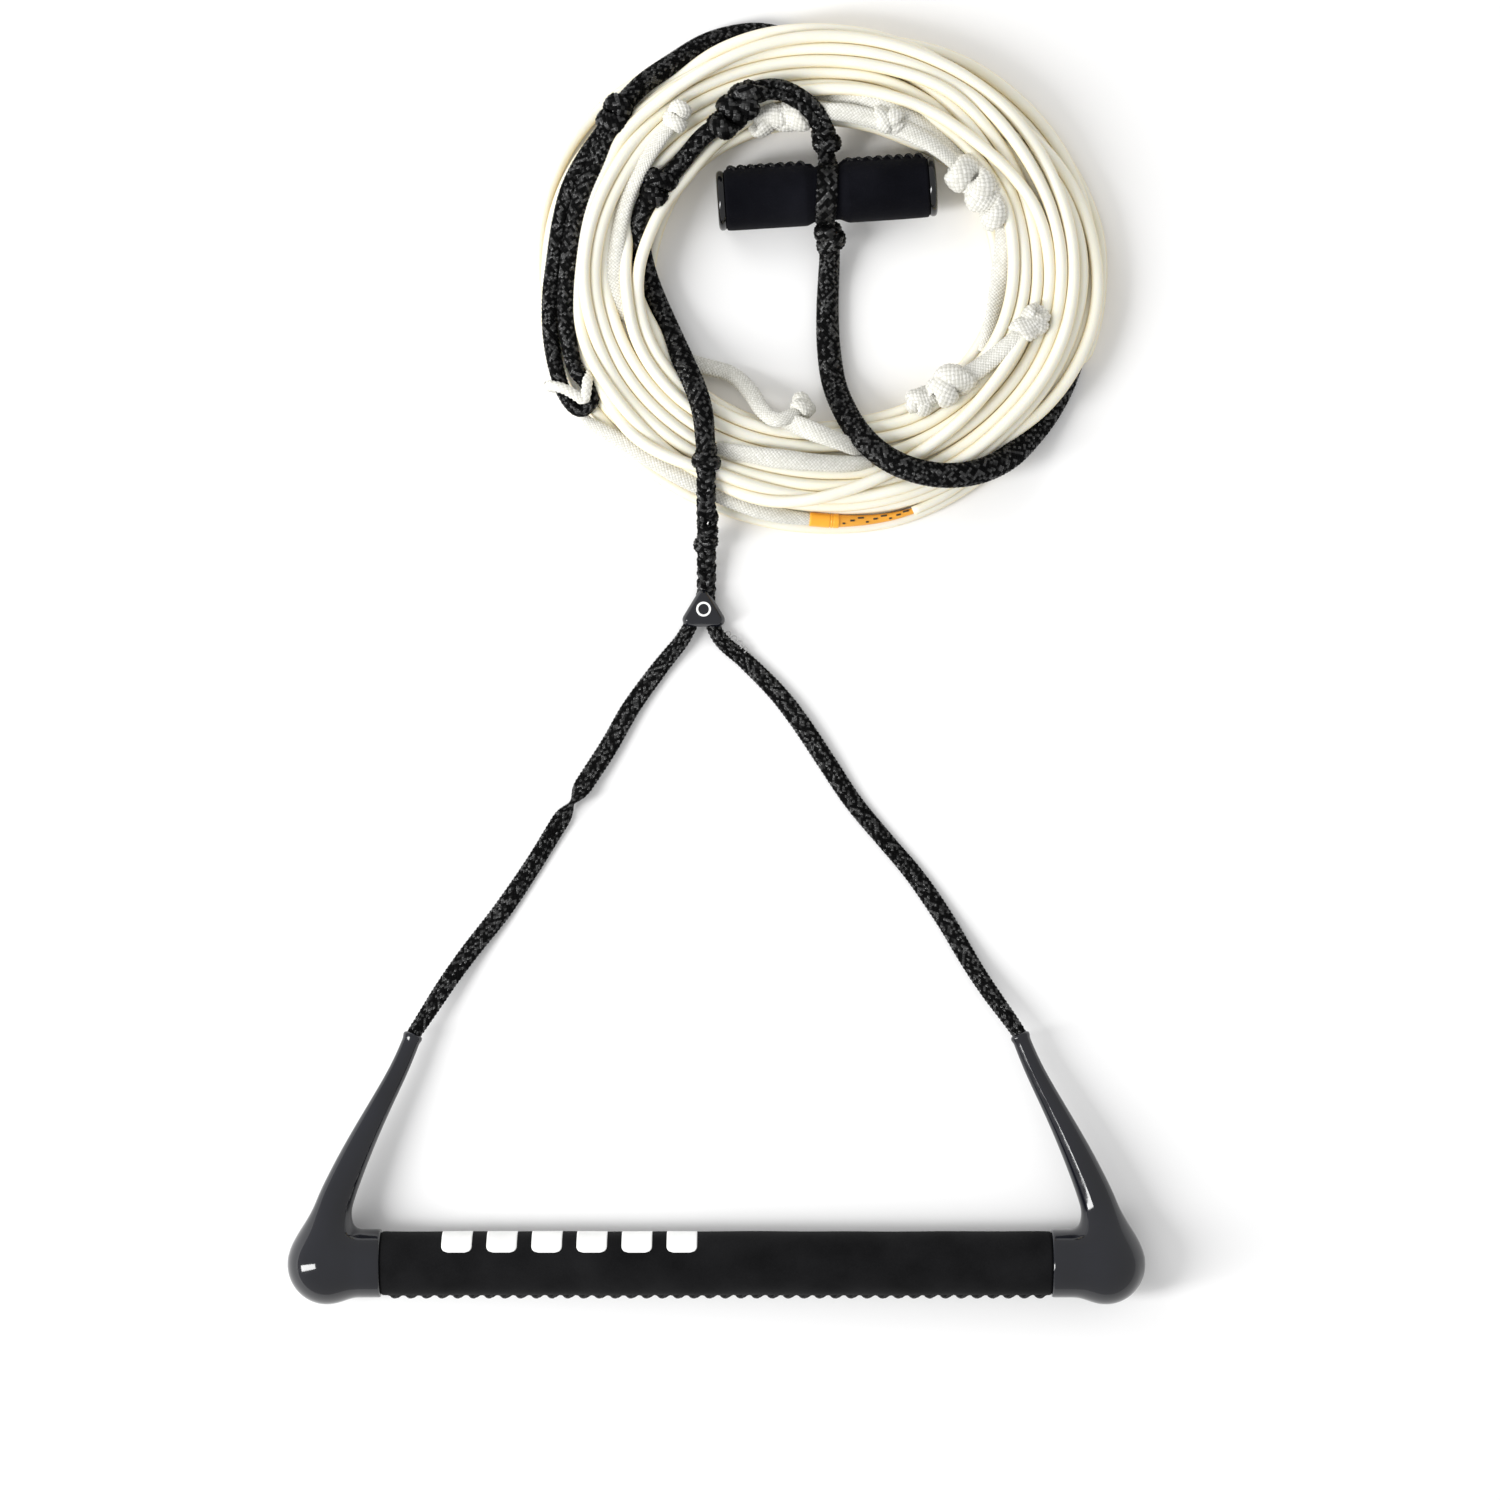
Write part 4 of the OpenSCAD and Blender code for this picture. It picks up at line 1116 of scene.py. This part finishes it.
def cap_blank(route, radii):
    """A rough closed mesh of a cap, for the voxels to start from."""
    bm = bmesh.new()
    for centre, radius in zip(route, radii):
        bmesh.ops.create_icosphere(bm, subdivisions=3, radius=radius, matrix=Matrix.Translation(centre))
    bmesh.ops.create_icosphere(bm, subdivisions=4, radius=BALL_R, matrix=Matrix.Translation(BALL_AT))
    depth = BALL_AT[0] - CAP_START
    place = Matrix.Translation((CAP_START + depth / 2, BAR[1], BAR[2])) @ Matrix.Rotation(math.pi / 2, 4, "Y")
    bmesh.ops.create_cone(bm, cap_ends=True, segments=64, radius1=COLLAR_R, radius2=COLLAR_R, depth=depth,
                          matrix=place)
    mesh = bpy.data.meshes.new("cap_blank")
    bm.to_mesh(mesh)
    bm.free()
    return mesh


def voxel_skin(mesh, voxel):
    """Points, edges and faces of an even quad mesh round overlapping closed meshes."""
    blank = add_object("blank", mesh)
    remesh = blank.modifiers.new("voxels", "REMESH")
    remesh.mode = "VOXEL"
    remesh.voxel_size = voxel
    made = bpy.data.meshes.new_from_object(blank.evaluated_get(bpy.context.evaluated_depsgraph_get()))
    verts = np.array([v.co for v in made.vertices])
    edges = np.array([e.vertices for e in made.edges])
    faces = [list(f.vertices) for f in made.polygons]
    bpy.data.objects.remove(blank)
    bpy.data.meshes.remove(mesh)
    bpy.data.meshes.remove(made)
    return verts, edges, faces


def settle_on(distance, verts, edges, rounds):
    """Moves points onto the surface where distance is 0, and evens them out along it."""
    count = np.bincount(edges.ravel(), minlength=len(verts))[:, None]
    for k in range(rounds):
        if k < rounds - 3:
            total = np.zeros_like(verts)
            np.add.at(total, edges[:, 0], verts[edges[:, 1]])
            np.add.at(total, edges[:, 1], verts[edges[:, 0]])
            verts = verts + 0.5 * (total / count - verts)
        slope = [distance(verts + step) - distance(verts - step) for step in 0.02 * np.eye(3)]
        verts = verts - np.clip(distance(verts), -1.5, 1.5)[:, None] * unit(np.column_stack(slope))
    return verts


def make_end_caps():
    route = smooth_route(ARM_ROUTE, 1.5, 120)
    radii = smoothed(along(ARM_RADII, len(route)), 60)
    verts, edges, faces = voxel_skin(cap_blank(route, radii), 0.75)
    verts = settle_on(lambda p: cap_distance(p, route, radii), verts, edges, 8)
    verts[:, 2] = np.maximum(verts[:, 2], 0)
    add_piece("right_end_cap", verts, faces, RUBBER, "handle")
    add_piece("left_end_cap", verts * [-1, 1, 1], [f[::-1] for f in faces], RUBBER, "handle")


def turned(name, place, rings, sides, material, body, swell=None):
    """A round piece about its own X axis, from (x, radius) rings. swell(x, angle) adds to the radius."""
    x, radius = (np.array(column, float)[:, None] for column in zip(*rings))
    angle = (math.tau * np.arange(sides) / sides)[None, :]
    if swell is not None:
        radius = radius + swell(x, angle)
    verts = place(round_x(x, radius, angle).reshape(-1, 3))
    return add_piece(name, verts, ring_faces(len(rings), sides), material, body)


def sleeve_rings(half, radius_at, edge, bore, spacing):
    """Rings of a padded sleeve with rounded ends, from its bore at one end to its bore at the other."""
    g = np.linspace(math.pi / 2, 0, 6)
    start = [(-half, bore)]
    start += [(-half + edge * (1 - math.sin(a)), radius_at(-half) - edge * (1 - math.cos(a))) for a in g]
    stations = np.arange(-half + edge + spacing, half - edge - spacing / 2, spacing)
    middle = [(x, radius_at(x)) for x in stations]
    return start + middle + [(-x, r) for x, r in start[::-1]]


def seam_swell(angle_at, radius, pitch, tooth, ends, waves):
    """The lip of a whip-stitched seam: drawn down at each stitch, with a slanted tooth between stitches."""
    def swell(x, angle):
        off = radius * (np.mod(angle - angle_at + math.pi, math.tau) - math.pi)
        phase = np.mod((x + 0.5 * off) / pitch, 1)
        rise = np.where(phase < 0.72, phase / 0.72, (1 - phase) / 0.28)
        fade = ease((ends - np.abs(x)) / 3)
        lip = tooth * (0.15 + 0.85 * rise) * np.exp(-(off / 1.5)**2) * fade
        slit = -0.2 * tooth * np.exp(-(off / 0.35)**2) * fade
        pull = -0.18 * np.exp(-(off / 6)**2) * (1 - rise) * fade
        soft = waves * np.sin(x / 9.7 + 2 * angle) * np.sin(x / 23 + angle + 1) * fade
        return lip + slit + pull + soft
    return swell


def whip_stitches(name, place, count, from_x, to_x, radius, angle_at, thread_r, reach, slant, rise, body):
    """Short slanted threads that go over a seam from side to side and dive into the pad at both ends."""
    stitches = []
    t = np.linspace(-1, 1, 13)
    angle = angle_at + reach * t / radius
    height = radius + rise * np.cos(math.pi * t / 2) - 2.2 * thread_r * ease((np.abs(t) - 0.6) / 0.4)
    for k in range(count):
        x = from_x + (to_x - from_x) * (k + 0.5) / count
        thread = place(round_x(x + 0.5 * slant * t, height, angle))
        stitches.append(tube_mesh(thread, thread_r, 9)[:2])
    piece = add_piece(name, *joined(stitches), THREAD, body)
    piece.data.uv_layers.new(name="weave")
    return piece


def on_bar(local):
    return local + [0, BAR[1], BAR[2]]


CROSS_TURN = math.radians(3.9)
CROSS_HALF = 48.9
CROSS_R = 13.75
CROSS_CAP = 3.6
WAIST_R = 12.0


def on_cross(local):
    c, s = math.cos(CROSS_TURN), math.sin(CROSS_TURN)
    return local @ np.array([[c, s, 0], [-s, c, 0], [0, 0, 1]]) + CROSS_AT


SEAM_AT = math.pi + 0.05
STITCHES = 42


def make_grip():
    seam_half = GRIP_HALF - 2
    swell = seam_swell(SEAM_AT, GRIP_R, 2 * seam_half / STITCHES, 1.7, GRIP_HALF - 1, 0.12)
    rings = sleeve_rings(GRIP_HALF, lambda x: GRIP_R, 1.1, GRIP_R - 1.75, 0.8)
    turned("grip_sleeve", on_bar, rings, 220, SUEDE, "handle", swell)
    whip_stitches("grip_stitching", on_bar, STITCHES, -seam_half, seam_half, GRIP_R + 0.2, SEAM_AT, 0.6,
                  2.8, -4.4, 0.9, "handle")
    make_print(swell)


# The printed blocks: how many, their width and gaps, the first one's left edge and their corners' radius
BLOCKS, BLOCK_WIDE, BLOCK_GAP, BLOCKS_LEFT, BLOCK_CORNER = 6, 13.5, 6.5, -122, 3.0
# The angles round the bar that they run between, and how far their outer and inner skins are above the sleeve
BLOCK_ANGLES = (-0.3, 1.12)
BLOCK_SKINS = (0.07, -0.4)


def block_faces(rows, cols):
    """Faces of a block with two skins of rows by cols points."""
    top = [[i * cols + j, i * cols + j + 1, (i + 1) * cols + j + 1, (i + 1) * cols + j]
           for i in range(rows - 1) for j in range(cols - 1)]
    under = [[rows * cols + i for i in face[::-1]] for face in top]
    grid = np.arange(rows * cols).reshape(rows, cols)
    rim = [*grid[0], *grid[1:, -1], *grid[-1, -2::-1], *grid[-2:0:-1, 0]]
    sides = [[a, rows * cols + a, rows * cols + b, b] for a, b in zip(rim, rim[1:] + rim[:1])]
    return top + under + sides


def make_print(swell):
    """A row of plain rounded blocks printed on the sleeve."""
    arc = np.linspace(*BLOCK_ANGLES, 34)
    s = (arc - arc[0]) * GRIP_R
    into_corner = np.maximum(0, BLOCK_CORNER - np.minimum(s, s[-1] - s))
    half = BLOCK_WIDE / 2 - BLOCK_CORNER + np.sqrt(np.maximum(0, BLOCK_CORNER**2 - into_corner**2))
    blocks = []
    for k in range(BLOCKS):
        middle = BLOCKS_LEFT + BLOCK_WIDE / 2 + k * (BLOCK_WIDE + BLOCK_GAP)
        x = middle + np.linspace(-1, 1, 19)[None, :] * half[:, None]
        angle = arc[:, None] + 0 * x
        skins = [round_x(x, GRIP_R + swell(x, angle) + rise, angle).reshape(-1, 3) for rise in BLOCK_SKINS]
        blocks.append((on_bar(np.vstack(skins)), block_faces(*x.shape)))
    add_piece("printed_blocks", *joined(blocks), PRINT, "handle")


def make_inside():
    """The looks of the plain solids that stay as they are, and the rope inside the bar and the caps."""
    for node, material in (("bar_tube", BARE_METAL), ("left_float_plug", FOAM), ("right_float_plug", FOAM),
                           ("cross_grip_core", BARE_METAL), ("yoke_badge", PRINT)):
        materials = frame["nodes"][node].data.materials
        for k in range(len(materials)):
            materials[k] = material
        if not materials:
            materials.append(material)
    half = [(0, -239, 16.8), (80, -239, 16.8), (150, -239, 16.8), (162, -238.5, 16.8), (170, -233.5, 16.6),
            *ARM_ROUTE[1:]]
    route = [(-x, y, z) for x, y, z in half[:0:-1]] + half
    rope, path = braid("through_rope", smooth_route(route, 1), 2.5, 2.5, BLACK_BRAID, body="handle",
                       yarns=6, pitch=16, relief=0.2, lying=False)
    declare(path)


# The cross grip's end caps: distance out from the sleeve's end, and radius
CROSS_CAP_RINGS = [
    (-0.1, 6), (-0.1, 12.4), (0.5, 12.9), (1.2, 13.3), (2.2, 13.35), (2.9, 13.0), (3.4, 12.2),
    (3.6, 11.2), (3.5, 10.4), (2.9, 9.9), (2.7, 9.2), (2.6, 5), (2.6, 1)
]
CROSS_SEAM_AT = 0.22


def make_cross_grip():
    half = CROSS_HALF - CROSS_CAP

    def radius_at(x):
        waist = ease((abs(x) - 4.6) / 5.5)
        return WAIST_R + (CROSS_R - WAIST_R) * waist - 0.25 * (abs(x) / half)**4

    swell = seam_swell(CROSS_SEAM_AT, CROSS_R, 4.9, 1.6, half - 0.5, 0.1)
    rings = sleeve_rings(half, radius_at, 1.0, 8.3, 0.4)
    turned("cross_grip_sleeve", on_cross, rings, 200, NEOPRENE, "cross_grip", swell)
    for way, name in ((-1, "left"), (1, "right")):
        from_x, to_x = sorted((way * 8.5, way * (half - 1)))
        stitches = whip_stitches(f"cross_stitching_{name}", on_cross, 8, from_x, to_x, CROSS_R + 0.1,
                                 CROSS_SEAM_AT, 0.65, 2.2, 3.8, 1.0, "cross_grip")
        if way < 0:
            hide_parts("cross_grip_stitching")
        rings = [(way * (half + out), r) for out, r in CROSS_CAP_RINGS][::way]
        turned(f"cross_grip_{name}_cap", on_cross, rings, 120, DARK_RUBBER, "cross_grip")


YOKE_AT = np.array([-5.8, 45.5])
YOKE_CORNERS = [(-6.3, 3), (6.3, 3), (0, 13.4)]
# Height, and radius of the corners there
YOKE_LEVELS = [
    (0.1, 2.2), (0.5, 2.8), (1.3, 3.15), (6.4, 3.2), (7.2, 3.0), (8.3, 2.3), (9.2, 1.6), (9.5, 1.0),
    (9.42, 0.5)
]


def yoke_ring(z, radius):
    """The yoke's outline at one height: its three corners rounded to a radius."""
    corners = [np.array(c, float) for c in YOKE_CORNERS]
    ring = []
    for k, corner in enumerate(corners):
        ahead = unit(corners[(k + 1) % 3] - corner)
        behind = unit(corner - corners[k - 1])
        start = math.atan2(-behind[0], behind[1])
        turn = (math.atan2(-ahead[0], ahead[1]) - start) % math.tau
        for a in np.linspace(start, start + turn, 12):
            ring.append([*(YOKE_AT + corner + radius * np.array([math.cos(a), math.sin(a)])), z])
    return ring


def make_yoke():
    rings = [yoke_ring(z, r) for z, r in YOKE_LEVELS]
    verts = np.array(rings).reshape(-1, 3)
    add_piece("yoke", verts, ring_faces(len(rings), len(rings[0])), RUBBER, "rope")


make_end_caps()
make_grip()
make_inside()
make_cross_grip()
make_yoke()
make_bridle()
make_handle_section()
make_grip_straps()
make_white_line_parts()
make_marker()
make_line()


# ---- Floor and light ----

def add_floor():
    mesh = bpy.data.meshes.new("floor")
    size, low = 3.0, -0.0004
    mesh.from_pydata([(-size, -size, low), (size, -size, low), (size, size, low), (-size, size, low)], [],
                     [(0, 1, 2, 3)])
    mesh.materials.append(Surface("floor", (0.93, 0.93, 0.93), 0.9, Specular_IOR_Level=0.1).material)
    add_object("floor", mesh)


def add_light(name, place, size, size_y, power, seen_in_gloss=True):
    """A rectangular area light that shines on the middle of the floor."""
    data = bpy.data.lights.new(name, "AREA")
    data.shape = "RECTANGLE"
    data.size = size
    data.size_y = size_y
    data.energy = power
    light = add_object(name, data)
    light.location = place
    light.rotation_euler = Vector([-v for v in place]).to_track_quat("-Z", "Y").to_euler()
    light.visible_glossy = seen_in_gloss


def add_lights():
    world = bpy.data.worlds.new("studio")
    bpy.context.scene.world = world
    world.use_nodes = True
    background = world.node_tree.nodes["Background"]
    background.inputs["Color"].default_value = (1, 1, 1, 1)
    background.inputs["Strength"].default_value = 0.69
    add_light("softbox", (-1.55, -0.42, 1.1), 0.42, 1.5, 38)
    add_light("fill", (-1.1, 1.3, 1.5), 1.0, 1.0, 9, seen_in_gloss=False)
    bpy.context.scene.view_settings.view_transform = "Standard"


add_floor()
add_lights()
